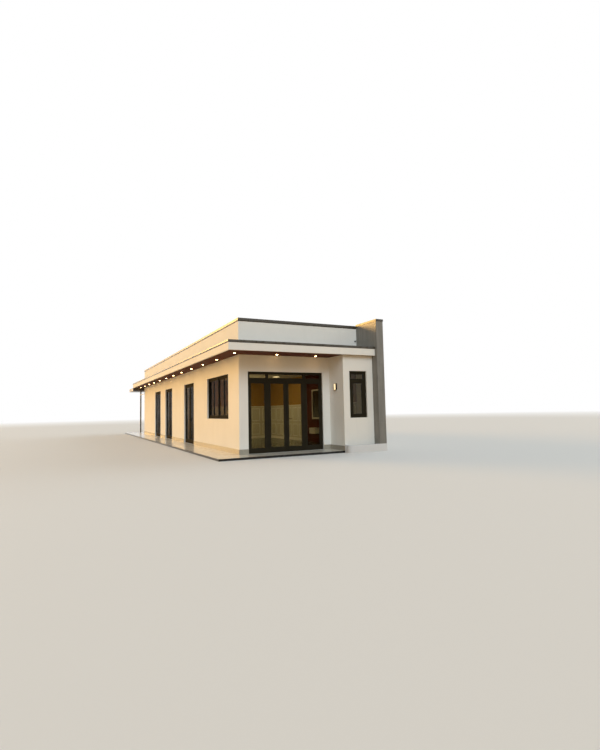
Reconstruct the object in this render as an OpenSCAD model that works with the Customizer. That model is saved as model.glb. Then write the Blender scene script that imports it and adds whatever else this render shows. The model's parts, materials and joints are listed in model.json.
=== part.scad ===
// Long flat-roofed bungalow with a wrap-round canopy, a street-side bay,
// a tile-clad fin wall and full-height glazed doors on two sides.
// X runs along the street front, Y goes back from it, Z is up.

/* [House] */
// Outside width of the house at the street front
house_w = 5000; // [4800:50:6000]
// Outside length of the long walls
house_l = 20500; // [19500:100:23000]
// Height of the wall between the door heads and the soffit
lintel_h = 550; // [450:10:800]
// Thickness of the outer walls
wall_t = 220; // [160:10:280]
// Thickness of the flat roof slab
slab_t = 206; // [180:2:214]

/* [Inner wall] */
// Distance of the inner wall from the front wall face
inner_wall_y = 8450; // [8250:50:9000]
// Thickness of the inner wall
inner_wall_t = 120; // [90:10:150]
// Width of the open passage at the inner wall's left end
passage_w = 980; // [800:10:1200]

/* [Terrace] */
// Height of the terrace over the ground
terrace_h = 70; // [60:5:150]
// Width of the terrace beside the left wall
terrace_side = 1000; // [800:50:1500]
// Thickness of the terrace paving
paving_t = 30; // [20:5:40]
// Width of the stone edge round the paving
edge_w = 30; // [15:5:50]

/* [Bay and fin wall] */
// Width of the bay, fin wall included
bay_w = 1534; // [1440:2:1640]
// How far the bay stands out from the front wall
bay_d = 960; // [800:10:1100]
// Thickness of the fin wall
fin_t = 300; // [240:10:340]
// How far the fin wall stands out from the bay
fin_out = 310; // [280:10:400]
// Height of the fin coping
fin_cap_t = 75; // [55:5:100]
// Height of the fin coping's top over the parapet coping
fin_cap_up = 50; // [20:5:50]
// How far the fin coping overhangs the fin wall
fin_cap_out = 12; // [5:1:20]

/* [Planter] */
// Height of the planter kerb over the terrace
kerb_h = 190; // [120:10:300]
// Thickness of the planter kerb
kerb_t = 110; // [80:5:140]
// Radius of the kerb's rounded corner
kerb_r = 190; // [120:10:220]
// How far the kerb stands in front of the fin wall
kerb_out = 20; // [10:5:40]

/* [Canopy] */
// How far the canopy stands out in front
canopy_front = 1145; // [1100:5:1250]
// How far the canopy stands out at the left
canopy_side = 720; // [500:10:900]
// How far the canopy stands out behind
canopy_rear = 600; // [400:20:900]
// Height of the canopy fascia
fascia_h = 232; // [210:2:300]
// Thickness of the canopy fascia
fascia_t = 60; // [40:5:80]
// Height of the canopy coping
canopy_cap_t = 84; // [50:2:110]
// Width of the canopy coping
canopy_cap_w = 180; // [120:10:240]
// How far the copings overhang what they cover
cap_out = 18; // [12:1:30]
// How much lower a coping is at its inner edge
cap_fall = 12; // [4:1:20]
// Height of the undercut along a coping's outer edge
undercut_h = 32; // [20:2:40]
// Thickness of the soffit boards
lining_t = 16; // [12:1:25]
// Width of the shadow gap between the fascia and the soffit boards
shadow_gap = 45; // [20:5:80]

/* [Parapet] */
// Height of the parapet over the roof slab, coping included
parapet_up = 1018; // [800:2:1300]
// Height of the parapet coping
parapet_cap_t = 113; // [60:1:130]
// Thickness of the parapet
parapet_t = 150; // [120:10:200]
// Radius of the overflow spout on the front parapet
spout_r = 25; // [15:1:40]
// How far the spout stands out
spout_out = 70; // [40:5:120]

/* [Soffit lights] */
// Radius of a soffit light
light_r = 48; // [35:1:60]
// How far a soffit light stands below the boards
light_drop = 18; // [8:1:25]
// Distance of the light row from the long wall
light_row = 250; // [180:10:350]
// Distance of the front lights from the front wall
front_light_row = 330; // [180:10:450]
// Distance between two lights along the left side
side_light_pitch = 1895; // [1700:5:1910]
// Number of lights along the left side, corner light included
side_lights = 12; // [8:1:12]
// Number of lights along the front, corner light included
front_lights = 3; // [2:1:4]
// Distance between two lights along the front
front_light_pitch = 1500; // [1300:20:1560]

/* [Door and window frames] */
// Height of all door and window heads over the terrace
head_h = 2750; // [2700:10:2900]
// Depth of the frames behind the wall face
recess = 55; // [30:5:80]
// Depth of a frame from outside to inside
frame_d = 100; // [90:5:110]
// Face width of a frame
frame_w = 60; // [50:5:70]
// Thickness of a leaf or sash
leaf_t = 45; // [38:1:50]
// Width of the stop lip that a leaf closes against
stop_w = 14; // [10:1:18]
// Height of a threshold over the terrace
sill_t = 25; // [15:1:35]
// Clearance round a hinged leaf
leaf_gap = 6; // [6:0.5:10]
// Clearance between two meeting leaves
meet_gap = 10; // [10:0.5:14]
// Thickness of the glass
glass_t = 8; // [6:1:12]
// Face width of a leaf stile
stile_w = 92; // [70:2:110]
// Height of a leaf's bottom rail
rail_h = 145; // [110:5:180]
// How far the glass reaches into its groove
glass_bite = 12; // [8:1:14]
// Width of the splay round the glass
splay = 10; // [6:1:14]
// Radius of a hinge barrel
hinge_r = 8; // [7:0.5:9]
// Height of a hinge barrel
hinge_h = 100; // [80:5:120]
// Height of the door handles over the terrace
handle_z = 1130; // [950:10:1200]
// Reach of a door handle in front of its leaf
handle_reach = 58; // [50:1:65]

/* [Front door] */
// Distance of the front door from the left corner
front_door_x = 320; // [250:10:400]
// Width of the pier between the front door and the bay
front_pier_w = 286; // [220:2:400]
// Height of the front door's opening above the underside of its transom bar
transom_h = 300; // [240:10:400]
// Face width of a fixed sash stile
sash_w = 70; // [50:5:90]

/* [Side doors] */
// Width of a side door opening
side_door_w = 1880; // [1700:20:1950]
// Distance of the first side door from the front corner
side_door_1_y = 6050; // [5800:50:6300]
// Distance of the second side door from the front corner
side_door_2_y = 10760; // [10300:50:11200]
// Distance of the third side door from the front corner
side_door_3_y = 14150; // [13700:50:14500]
// Distance of the rear door from the left corner
rear_door_x = 1560; // [1300:20:1900]

/* [Windows] */
// Distance of the side window from the front corner
side_window_y = 1130; // [900:10:1400]
// Width of the side window
side_window_w = 2720; // [2400:20:2900]
// Height of the side window sill over the terrace
side_window_z = 1160; // [900:20:1300]
// Number of sashes in the side window
side_window_sashes = 4; // [2:1:6]
// Distance of the bay window from the bay's side
bay_window_in = 254; // [240:2:280]
// Width of the bay window
bay_window_w = 720; // [600:10:730]
// Height of the bay window sill over the terrace
bay_window_z = 1115; // [900:5:1300]
// Height of the bay window above the underside of its bar
bay_top_h = 380; // [320:10:450]
// Face width of the bay window frame
bay_frame_w = 80; // [60:5:90]
// Face width of the bay window sash
bay_sash_w = 100; // [70:5:110]

/* [Rear porch] */
// How far the porch reaches behind the rear wall
porch_d = 2700; // [2200:50:3300]
// Thickness of the porch roof
porch_t = 220; // [140:10:260]
// Side of a porch post
post_w = 90; // [70:5:120]
// Distance of the post row from the left wall face
post_in = 50; // [20:10:200]
// Distance of the rail between post and wall from the porch roof
porch_rail_drop = 190; // [60:10:400]
// Height of that rail's bar
porch_rail_h = 40; // [30:5:60]

/* [Wall trim] */
// Height of the tile skirting
skirting_h = 164; // [100:2:200]
// Thickness of the tile skirting
skirting_t = 12; // [8:1:15]
// Distance of the wall lamp from the bay's front edge
lamp_in = 435; // [300:10:500]
// Width of the wall lamp
lamp_w = 120; // [100:5:140]
// Height of the wall lamp
lamp_h = 235; // [160:5:260]
// Depth of the wall lamp
lamp_d = 55; // [45:5:70]
// Height of the wall lamp's foot over the terrace
lamp_z = 2100; // [1900:5:2400]
// Thickness of the lamp's diffuser
diffuser_t = 12; // [8:1:16]

/* [Hidden] */
$fn = 48;

white = "whitesmoke";
dark = "dimgray";
frame_paint = "#2b2a28";
pane = "#6f7f80";
wood = "#4a1f18";
tile = "#7d776f";
cream = "#e3dccb";

fin_x = house_w - fin_t;
bay_x = house_w - bay_w;
front_door_w = bay_x - front_door_x - front_pier_w;
transom_z = head_h - transom_h;
bay_bar_z = head_h - bay_top_h;
soffit_h = head_h + lintel_h;
canopy_y1 = house_l + canopy_rear;
slab_z = soffit_h + fascia_h - slab_t;
slab_top = soffit_h + fascia_h;
fascia_top = slab_top;
cap_top = fascia_top + canopy_cap_t;
rear_y = house_l + porch_d;
parapet_h = slab_top + parapet_up;
fin_top = parapet_h + fin_cap_up - fin_cap_t;
fin_front_y = -bay_d - fin_out;
kerb_front_y = fin_front_y - kerb_out;
parapet_wall_top = parapet_h - parapet_cap_t;
porch_rail_z = soffit_h - porch_t - porch_rail_drop - porch_rail_h;
side_door_ys = [side_door_1_y, side_door_2_y, side_door_3_y];
bay_window_x = bay_x + bay_window_in;

// Bounding box of the whole house, which sets its origin
box_x0 = -terrace_side;
box_x1 = house_w + fin_cap_out;
box_y0 = min(kerb_front_y, fin_front_y - fin_cap_out, -canopy_front - cap_out);
box_y1 = max(rear_y, canopy_y1 + cap_out);

// A hinged pair: clear width between its two jambs, leaf width and leaf height
front_pair_w = front_door_w / 2 - frame_w;
side_pair_w = side_door_w - 2 * frame_w;
front_leaf_h = transom_z - 2 * leaf_gap - sill_t;
side_leaf_h = head_h - frame_w - 2 * leaf_gap - sill_t;
front_mullion_x = front_door_w / 4;
bead_w = 25;
splay_d = (leaf_t - glass_t) / 2 - 4;
hinge_heights = [0.1, 0.47, 0.9];
knuckle_gap = 2;
pin_r = hinge_r - 2;
hinge_plate = [32, 3];
handle_bar_r = 9;
handle_len = 125;
elbow_r = 16;
plate = [42, 220, 8];
plate_corner_r = 6;
plate_below = 130;
collar_r = 15;
collar_t = 8;
keyhole_drop = 72;
undercut_in = cap_out - 4;
drip_in = cap_out / 3;
drip_w = cap_out / 3;
drip_d = 6;
parapet_cap_w = parapet_t + 2 * cap_out;
cap_corner_x = house_w - parapet_t - cap_out;
bay_light_h = head_h - bay_frame_w - bay_bar_z;

function leaf_w(pair_w) = (pair_w - 2 * leaf_gap - meet_gap) / 2;

// Moves the house so that the middle of its footprint is at the origin, on the ground
module placed()
{
    translate([-(box_x0 + box_x1) / 2, -(box_y0 + box_y1) / 2, terrace_h]) children();
}

// A box from one corner to the opposite one
module span(low, high)
{
    translate(low) cube(high - low);
}

// Turns a piece drawn for the front wall so that it stands in the left wall at y
module in_left_wall(y)
{
    translate([0, y, 0]) mirror([1, 0, 0]) rotate([0, 0, 90]) children();
}

// Turns a piece drawn for the front wall so that it stands in the rear wall at x
module in_rear_wall(x)
{
    translate([x, house_l, 0]) mirror([0, 1, 0]) children();
}

// A rectangular ring standing in a front wall, from y to y + d
module ring(x, z, w, h, side, foot, top, y, d)
{
    difference()
    {
        translate([x, y, z]) cube([w, d, h]);
        translate([x + side, y - 1, z + foot]) cube([w - 2 * side, d + 2, h - foot - top]);
    }
}

// Plan of a splay that is w wide at depth d and wider by splay on each side at depth 0
module taper(w, d)
{
    over = 1;
    wide = w / 2 + splay * (d + over) / d;
    polygon([[-wide, -over], [wide, -over], [w / 2, d], [-w / 2, d]]);
}

// The splayed opening in front of a pane, with its face at y = 0
module splayed_opening(w, h)
{
    intersection()
    {
        linear_extrude(2 * h, center = true) taper(w, splay_d);
        rotate([0, -90, 0]) linear_extrude(2 * w, center = true) taper(h, splay_d);
    }
}

// A sash or leaf ring: splayed on both faces, with a groove that holds the edge of its glass
module glazed_ring(x, z, w, h, side, foot, top, y)
{
    clear = [w - 2 * side, h - foot - top];
    difference()
    {
        ring(x, z, w, h, side, foot, top, y, leaf_t);
        pane_in_groove(x, z, w, h, side, foot, top, y);
        for (far = [0, 1]) translate([x + w / 2, y + far * leaf_t, z + foot + clear[1] / 2])
            mirror([0, far, 0]) splayed_opening(clear[0], clear[1]);
    }
}

// The pane of that ring, which fills the groove
module pane_in_groove(x, z, w, h, side, foot, top, y)
{
    translate([x + side - glass_bite, y + (leaf_t - glass_t) / 2, z + foot - glass_bite])
        cube([w - 2 * (side - glass_bite), glass_t, h - foot - top + 2 * glass_bite]);
}

// Frame of a hinged pair with the stop lip that its leaves close against
module pair_frame(w)
{
    ring(0, 0, w, head_h, frame_w, sill_t, frame_w, recess, frame_d);
    stop_y = recess + leaf_t + leaf_gap;
    stop_d = recess + frame_d - stop_y;
    ring(0, 0, w, head_h, frame_w + stop_w, sill_t, frame_w + stop_w, stop_y, stop_d);
}

// One hinged leaf, hinged at x = 0 and reaching to +x, with its handle near its free edge
module leaf(w, h, handle)
{
    z0 = sill_t + leaf_gap;
    glazed_ring(leaf_gap, z0, w, h, stile_w, rail_h, stile_w, recess);
    for (t = hinge_heights)
        translate([leaf_gap / 2, recess - hinge_r, z0 + t * h - hinge_h / 2]) hinge();
    if (handle) lever_pair(leaf_gap + w - stile_w / 2, recess);
}

// A hinge of three knuckles on one pin, with the plate that runs onto its stile
module hinge()
{
    knuckle_h = (hinge_h - 2 * knuckle_gap) / 3;
    for (i = [0:2]) translate([0, 0, i * (knuckle_h + knuckle_gap)])
        cylinder(r = hinge_r, h = knuckle_h);
    cylinder(r = pin_r, h = hinge_h);
    translate([0, hinge_r - hinge_plate[1], 0]) cube([hinge_plate[0], hinge_plate[1], hinge_h]);
}

// A lever on each face of a leaf whose outer face is at y
module lever_pair(x, y)
{
    translate([x, y, handle_z]) lever();
    translate([x, y + leaf_t, handle_z]) mirror([0, 1, 0]) lever();
}

// A long plate with its keyhole, and a lever that turns out of its collar towards -x
module lever()
{
    bend_y = handle_reach - elbow_r;
    rotate([90, 0, 0]) difference()
    {
        linear_extrude(plate[2]) plate_outline();
        translate([0, -keyhole_drop, plate[2] / 2]) cylinder(r = plate_corner_r, h = plate[2]);
    }
    rotate([90, 0, 0]) cylinder(r = collar_r, h = plate[2] + collar_t);
    rotate([90, 0, 0]) cylinder(r = handle_bar_r, h = bend_y);
    translate([-elbow_r, -bend_y, 0])
    {
        rotate([0, 0, -90]) rotate_extrude(angle = 90) translate([elbow_r, 0])
            circle(handle_bar_r);
        translate([0, -elbow_r, 0]) rotate([0, -90, 0])
            cylinder(r = handle_bar_r, h = handle_len - elbow_r);
    }
}

// Round-cornered plate, with most of its length below the lever
module plate_outline()
{
    r = plate_corner_r;
    translate([-plate[0] / 2 + r, -plate_below]) square([plate[0] - 2 * r, plate[1]]);
    translate([-plate[0] / 2, -plate_below + r]) square([plate[0], plate[1] - 2 * r]);
    for (x = [-1, 1], y = [-plate_below + r, plate[1] - plate_below - r])
        translate([x * (plate[0] / 2 - r), y]) circle(r);
}

// The glass of that leaf
module leaf_glass(w, h)
{
    pane_in_groove(leaf_gap, sill_t + leaf_gap, w, h, stile_w, rail_h, stile_w, recess);
}

// Places a leaf at the left jamb of a pair, or mirrored at the right jamb
module at_jamb(pair_w, right)
{
    if (right) translate([pair_w, 0, 0]) mirror([1, 0, 0]) children();
    else children();
}

module front_leaf_at(right)
{
    translate([front_door_x + front_mullion_x + frame_w / 2, 0, 0])
        at_jamb(front_pair_w, right) children();
}

module side_leaf_at(i, far)
{
    in_left_wall(side_door_ys[i]) translate([frame_w, 0, 0])
        at_jamb(side_pair_w, far) children();
}

module floor_slab()
{
    color(cream) placed()
    {
        span([wall_t, wall_t, -terrace_h], [house_w - wall_t, house_l - wall_t, 0]);
        span([bay_x + wall_t, -bay_d + wall_t, -terrace_h], [house_w - wall_t, wall_t, 0]);
    }
}

// Outline of the terrace round the front, left side and rear, drawn in from its edges
module terrace_plan(inset)
{
    difference()
    {
        union()
        {
            translate([-terrace_side + inset, -bay_d + inset])
                square([terrace_side + bay_x - inset, bay_d - inset]);
            translate([-terrace_side + inset, -bay_d + inset])
                square([terrace_side - inset, rear_y + bay_d - 2 * inset]);
            translate([-terrace_side + inset, house_l])
                square([terrace_side + house_w - inset, porch_d - inset]);
        }
        square([house_w, house_l]);
    }
}

// Base of the terrace, with the stone edge that stands up round its paving
module terrace_riser()
{
    color("#191919") placed() translate([0, 0, -terrace_h]) difference()
    {
        linear_extrude(terrace_h) terrace_plan(0);
        translate([0, 0, terrace_h - paving_t]) linear_extrude(terrace_h) terrace_plan(edge_w);
    }
}

module terrace_paving()
{
    color(cream) placed() translate([0, 0, -paving_t]) linear_extrude(paving_t)
        terrace_plan(edge_w);
}

module front_wall_piers()
{
    color(white) placed()
    {
        span([0, 0, -terrace_h], [front_door_x, wall_t, slab_z]);
        span([front_door_x + front_door_w, 0, -terrace_h], [bay_x + wall_t, wall_t, slab_z]);
    }
}

module front_wall_head()
{
    color(white) placed()
    {
        span([front_door_x, 0, head_h], [front_door_x + front_door_w, wall_t, slab_z]);
        span([front_door_x, 0, -terrace_h], [front_door_x + front_door_w, wall_t, 0]);
    }
}

module bay_side_wall()
{
    color(white) placed() span([bay_x, -bay_d + wall_t, -terrace_h], [bay_x + wall_t, 0, slab_z]);
}

module bay_front_wall()
{
    color(white) placed() difference()
    {
        span([bay_x, -bay_d, -terrace_h], [fin_x, -bay_d + wall_t, slab_z]);
        span([bay_window_x, -bay_d - 1, bay_window_z],
            [bay_window_x + bay_window_w, -bay_d + wall_t + 1, head_h]);
    }
}

module left_wall_front()
{
    color(white) placed() difference()
    {
        span([0, wall_t, -terrace_h], [wall_t, side_door_1_y, slab_z]);
        span([-1, side_window_y, side_window_z],
            [wall_t + 1, side_window_y + side_window_w, head_h]);
    }
}

module left_wall_piers()
{
    ends = [side_door_2_y, side_door_3_y, house_l];
    color(white) placed() for (i = [0:2])
        span([0, side_door_ys[i] + side_door_w, -terrace_h], [wall_t, ends[i], slab_z]);
}

module left_wall_heads()
{
    color(white) placed() for (y = side_door_ys)
    {
        span([0, y, head_h], [wall_t, y + side_door_w, slab_z]);
        span([0, y, -terrace_h], [wall_t, y + side_door_w, 0]);
    }
}

module right_wall()
{
    color(white) placed()
        span([house_w - wall_t, -bay_d + wall_t, -terrace_h], [house_w, house_l, slab_z]);
}

module rear_wall_piers()
{
    y0 = house_l - wall_t;
    color(white) placed()
    {
        span([wall_t, y0, -terrace_h], [rear_door_x, house_l, slab_z]);
        span([rear_door_x + side_door_w, y0, -terrace_h], [house_w - wall_t, house_l, slab_z]);
    }
}

module rear_wall_head()
{
    y0 = house_l - wall_t;
    color(white) placed()
    {
        span([rear_door_x, y0, head_h], [rear_door_x + side_door_w, house_l, slab_z]);
        span([rear_door_x, y0, -terrace_h], [rear_door_x + side_door_w, house_l, 0]);
    }
}

// Cross wall behind the front room, with an open passage at its left end
module inner_wall()
{
    color(white) placed() span([wall_t + passage_w, inner_wall_y, 0],
        [house_w - wall_t, inner_wall_y + inner_wall_t, slab_z]);
}

// Roof slab inside the fascia, with a notch for the fin wall
module roof_slab()
{
    color(white) placed() translate([0, 0, slab_z]) linear_extrude(slab_t) difference()
    {
        translate([-canopy_side + fascia_t, -canopy_front + fascia_t])
            square([canopy_side - fascia_t + house_w, canopy_y1 + canopy_front - 2 * fascia_t]);
        translate([fin_x, -canopy_front]) square([fin_t + 1, canopy_front]);
    }
}

// Section of a coping whose top falls inwards: undercut at its outer edge where it overhangs,
// and with a drip groove where its inner edge does
module coping_section(w, t, undercut, drip)
{
    difference()
    {
        polygon([[0, undercut ? undercut_h : 0], [undercut ? undercut_in : 0, 0], [w, 0],
            [w, t - cap_fall], [0, t]]);
        if (drip) translate([w - drip_in - drip_w, -1]) square([drip_w, drip_d + 1]);
    }
}

// A run of coping along X with its outer edge at y = 0, mitred at the ends that turn a corner
module coping_run(l, w, t, mitres, undercut, drip)
{
    intersection()
    {
        rotate([90, 0, 90]) linear_extrude(l) coping_section(w, t, undercut, drip);
        linear_extrude(t) polygon([[0, 0], [l, 0], [l - mitres[1] * w, w], [mitres[0] * w, w]]);
    }
}

// Turns a run so that it goes back along Y with its outer edge at x = 0
module going_back()
{
    mirror([1, 0, 0]) rotate([0, 0, 90]) children();
}

module canopy_long_fascia()
{
    color(white) placed() span([-canopy_side, -canopy_front, soffit_h],
        [-canopy_side + fascia_t, canopy_y1, fascia_top]);
}

module canopy_cross_fascias()
{
    x0 = -canopy_side + fascia_t;
    color(white) placed()
    {
        span([x0, -canopy_front, soffit_h], [fin_x, -canopy_front + fascia_t, fascia_top]);
        span([x0, canopy_y1 - fascia_t, soffit_h], [house_w, canopy_y1, fascia_top]);
    }
}

module canopy_coping()
{
    x0 = -canopy_side - cap_out;
    y0 = -canopy_front - cap_out;
    y1 = canopy_y1 + cap_out;
    color(dark) placed()
    {
        translate([x0, y0, fascia_top])
        {
            going_back() coping_run(y1 - y0, canopy_cap_w, canopy_cap_t, [1, 1], true, false);
            coping_run(fin_x - x0, canopy_cap_w, canopy_cap_t, [1, 0], true, false);
        }
        translate([x0, y1, fascia_top]) mirror([0, 1, 0])
            coping_run(house_w - x0, canopy_cap_w, canopy_cap_t, [1, 0], true, false);
    }
}

module soffit_lining()
{
    edge = fascia_t + shadow_gap;
    color(wood) placed() translate([0, 0, slab_z - lining_t]) linear_extrude(lining_t) difference()
    {
        translate([-canopy_side + edge, -canopy_front + edge])
            square([canopy_side - edge + house_w, canopy_y1 + canopy_front - 2 * edge]);
        square([house_w, house_l]);
        translate([bay_x, -bay_d]) square([house_w - bay_x + 1, bay_d + 1]);
        translate([fin_x, -canopy_front]) square([fin_t + 1, canopy_front]);
    }
}

// Round light whose lens domes out of a bezel, hanging from z = 0
module soffit_light()
{
    bezel_t = light_drop / 3;
    lens_r = light_r * 0.88;
    rotate_extrude() polygon([[0, 0], [light_r, 0], [light_r, -bezel_t], [lens_r, -bezel_t],
        [lens_r * 0.8, -light_drop * 0.75], [lens_r * 0.45, -light_drop], [0, -light_drop]]);
}

// Lights in a row along the left side, then the corner light and the rest of the front row
module soffit_lights()
{
    color("ivory") placed() translate([-light_row, 0, slab_z - lining_t])
    {
        for (i = [1:side_lights - 1])
            translate([0, i * side_light_pitch - light_row, 0]) soffit_light();
        for (i = [0:front_lights - 1])
            translate([i * front_light_pitch, -front_light_row, 0]) soffit_light();
    }
}

module long_parapets()
{
    color(white) placed()
    {
        span([0, 0, slab_top], [parapet_t, house_l, parapet_wall_top]);
        span([house_w - parapet_t, 0, slab_top], [house_w, house_l, parapet_wall_top]);
    }
}

module cross_parapets()
{
    color(white) placed()
    {
        span([parapet_t, 0, slab_top], [house_w - parapet_t, parapet_t, parapet_wall_top]);
        span([parapet_t, house_l - parapet_t, slab_top],
            [house_w - parapet_t, house_l, parapet_wall_top]);
    }
}

// The left one turns both corners, and the right one is flush with its wall and ends square
module long_parapet_copings()
{
    color(dark) placed()
    {
        translate([-cap_out, -cap_out, parapet_wall_top]) going_back()
            coping_run(house_l + 2 * cap_out, parapet_cap_w, parapet_cap_t, [1, 1], true, true);
        translate([house_w, 0, parapet_wall_top]) rotate([0, 0, 90])
            coping_run(house_l + cap_out, parapet_t + cap_out, parapet_cap_t, [0, 0], false, true);
    }
}

module cross_parapet_copings()
{
    l = cap_corner_x + cap_out;
    color(dark) placed()
    {
        difference()
        {
            translate([-cap_out, -cap_out, parapet_wall_top])
                coping_run(l, parapet_cap_w, parapet_cap_t, [1, 0], true, true);
            span([fin_x - fin_cap_out, -cap_out - 1, parapet_wall_top - 1],
                [house_w, 0, parapet_h + 1]);
        }
        translate([-cap_out, house_l + cap_out, parapet_wall_top]) mirror([0, 1, 0])
            coping_run(l, parapet_cap_w, parapet_cap_t, [1, 0], true, true);
    }
}

module overflow_spout()
{
    color(dark) placed() translate([fin_x - 3 * spout_r, 0, cap_top + 350]) rotate([90, 0, 0])
        difference()
        {
            cylinder(r = spout_r, h = spout_out);
            translate([0, 0, 10]) cylinder(r = spout_r - 4, h = spout_out);
        }
}

module fin_wall()
{
    color(tile) placed()
    {
        span([fin_x, fin_front_y, -terrace_h], [house_w, -bay_d + wall_t, fin_top]);
        span([fin_x, -bay_d + wall_t, slab_z], [house_w, 0, fin_top]);
    }
}

// Flat coping of the fin wall, with a drip groove under its overhang on three sides
module fin_coping()
{
    x0 = fin_x - fin_cap_out;
    x1 = house_w + fin_cap_out;
    y0 = fin_front_y - fin_cap_out;
    groove = fin_cap_out / 3;
    color(dark) placed() difference()
    {
        span([x0, y0, fin_top], [x1, 0, fin_top + fin_cap_t]);
        translate([0, 0, fin_top - 1]) linear_extrude(drip_d + 1) difference()
        {
            translate([x0 + groove, y0 + groove]) square([x1 - x0 - 2 * groove, -y0]);
            translate([x0 + 2 * groove, y0 + 2 * groove]) square([x1 - x0 - 4 * groove, -y0]);
        }
    }
}

// Plan of the low wall that turns the bay's corner
module kerb_plan(inset)
{
    r = kerb_r - inset;
    x0 = bay_x + inset;
    y0 = kerb_front_y + inset;
    intersection()
    {
        translate([x0 + r, y0 + r]) circle(r);
        translate([x0, y0]) square(r);
    }
    translate([x0 + r, y0]) square([fin_x - x0 - r, -bay_d - y0]);
    translate([x0, y0 + r]) square([r, -bay_d - y0 - r]);
}

module planter_kerb()
{
    color(white) placed()
    {
        translate([0, 0, -terrace_h]) linear_extrude(terrace_h + kerb_h) difference()
        {
            kerb_plan(0);
            kerb_plan(kerb_t);
        }
        span([fin_x - 1, kerb_front_y, -terrace_h], [house_w, fin_front_y, kerb_h]);
    }
}

// Skirting tiles round the foot of the walls, stopping at each door
module skirting()
{
    starts = [-skirting_t, side_door_1_y + side_door_w, side_door_2_y + side_door_w,
        side_door_3_y + side_door_w];
    ends = [side_door_1_y, side_door_2_y, side_door_3_y, house_l];
    color(tile) placed()
    {
        for (i = [0:3]) span([-skirting_t, starts[i], 0], [0, ends[i], skirting_h]);
        span([-1, -skirting_t, 0], [front_door_x, 0, skirting_h]);
        span([front_door_x + front_door_w, -skirting_t, 0], [bay_x, 0, skirting_h]);
        span([bay_x - skirting_t, -bay_d, 0], [bay_x, 0, skirting_h]);
        span([-skirting_t, house_l - 1, 0], [0, house_l + skirting_t, skirting_h]);
        span([-1, house_l, 0], [rear_door_x, house_l + skirting_t, skirting_h]);
        span([rear_door_x + side_door_w, house_l, 0],
            [house_w, house_l + skirting_t, skirting_h]);
    }
}

// Outer frame of the front door, its two mullions and its transom bar
module front_door_frame()
{
    color(frame_paint) placed() translate([front_door_x, 0, 0])
    {
        pair_frame(front_door_w);
        for (x = [front_mullion_x, front_door_w - front_mullion_x])
            translate([x - frame_w / 2, recess, 0]) cube([frame_w, frame_d, head_h]);
        translate([0, recess, transom_z]) cube([front_door_w, frame_d, frame_w]);
        stop_y = recess + leaf_t + leaf_gap;
        pair_x = front_mullion_x + frame_w / 2;
        ring(pair_x - 1, 0, front_pair_w + 2, transom_z + 1, stop_w + 1, sill_t, stop_w + 1,
            stop_y, recess + frame_d - stop_y);
    }
}

// A fixed sash fitted in its frame, and its glass
module fixed_sash(x, z, w, h, side, foot, top)
{
    glazed_ring(x, z, w, h, side, foot, top, recess + 2);
}

module fixed_pane(x, z, w, h, side, foot, top)
{
    pane_in_groove(x, z, w, h, side, foot, top, recess + 2);
}

side_light_w = front_mullion_x - frame_w * 1.5;
transom_light_h = head_h - transom_z - 2 * frame_w;

module front_side_lights()
{
    h = transom_z - sill_t;
    color(frame_paint) placed() translate([front_door_x, 0, 0])
    {
        fixed_sash(frame_w, sill_t, side_light_w, h, sash_w, rail_h, stile_w);
        fixed_sash(front_door_w - frame_w - side_light_w, sill_t, side_light_w, h,
            sash_w, rail_h, stile_w);
        for (x = [frame_w, front_mullion_x + frame_w / 2, front_door_w - frame_w - side_light_w])
            fixed_sash(x, transom_z + frame_w,
                x > frame_w && x < front_door_w / 2 ? front_pair_w : side_light_w,
                transom_light_h, bead_w, bead_w, bead_w);
    }
}

module front_fixed_glass()
{
    h = transom_z - sill_t;
    color(pane, 0.6) placed() translate([front_door_x, 0, 0])
    {
        fixed_pane(frame_w, sill_t, side_light_w, h, sash_w, rail_h, stile_w);
        fixed_pane(front_door_w - frame_w - side_light_w, sill_t, side_light_w, h,
            sash_w, rail_h, stile_w);
        for (x = [frame_w, front_mullion_x + frame_w / 2, front_door_w - frame_w - side_light_w])
            fixed_pane(x, transom_z + frame_w,
                x > frame_w && x < front_door_w / 2 ? front_pair_w : side_light_w,
                transom_light_h, bead_w, bead_w, bead_w);
    }
}

module front_leaf(right)
{
    color(frame_paint) placed() front_leaf_at(right)
        leaf(leaf_w(front_pair_w), front_leaf_h, right);
}

module front_glass(right)
{
    color(pane, 0.6) placed() front_leaf_at(right) leaf_glass(leaf_w(front_pair_w), front_leaf_h);
}

module side_door_frames()
{
    color(frame_paint) placed() for (y = side_door_ys) in_left_wall(y) pair_frame(side_door_w);
}

module side_leaf(i, far)
{
    color(frame_paint) placed() side_leaf_at(i, far)
        leaf(leaf_w(side_pair_w), side_leaf_h, !far);
}

module side_glass(i, far)
{
    color(pane, 0.6) placed() side_leaf_at(i, far) leaf_glass(leaf_w(side_pair_w), side_leaf_h);
}

// The rear pair of leaves stands closed in its frame
module rear_door()
{
    h = head_h - frame_w - sill_t;
    color(frame_paint) placed() in_rear_wall(rear_door_x)
    {
        pair_frame(side_door_w);
        for (i = [0, 1]) fixed_sash(frame_w + i * side_pair_w / 2, sill_t, side_pair_w / 2, h,
            stile_w, rail_h, stile_w);
        lever_pair(side_door_w / 2 + stile_w / 2, recess + 2);
    }
}

module rear_door_glass()
{
    h = head_h - frame_w - sill_t;
    color(pane, 0.6) placed() in_rear_wall(rear_door_x)
        for (i = [0, 1]) fixed_pane(frame_w + i * side_pair_w / 2, sill_t, side_pair_w / 2, h,
            stile_w, rail_h, stile_w);
}

side_sash_w = (side_window_w - 2 * frame_w) / side_window_sashes;
side_window_h = head_h - side_window_z;

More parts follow.
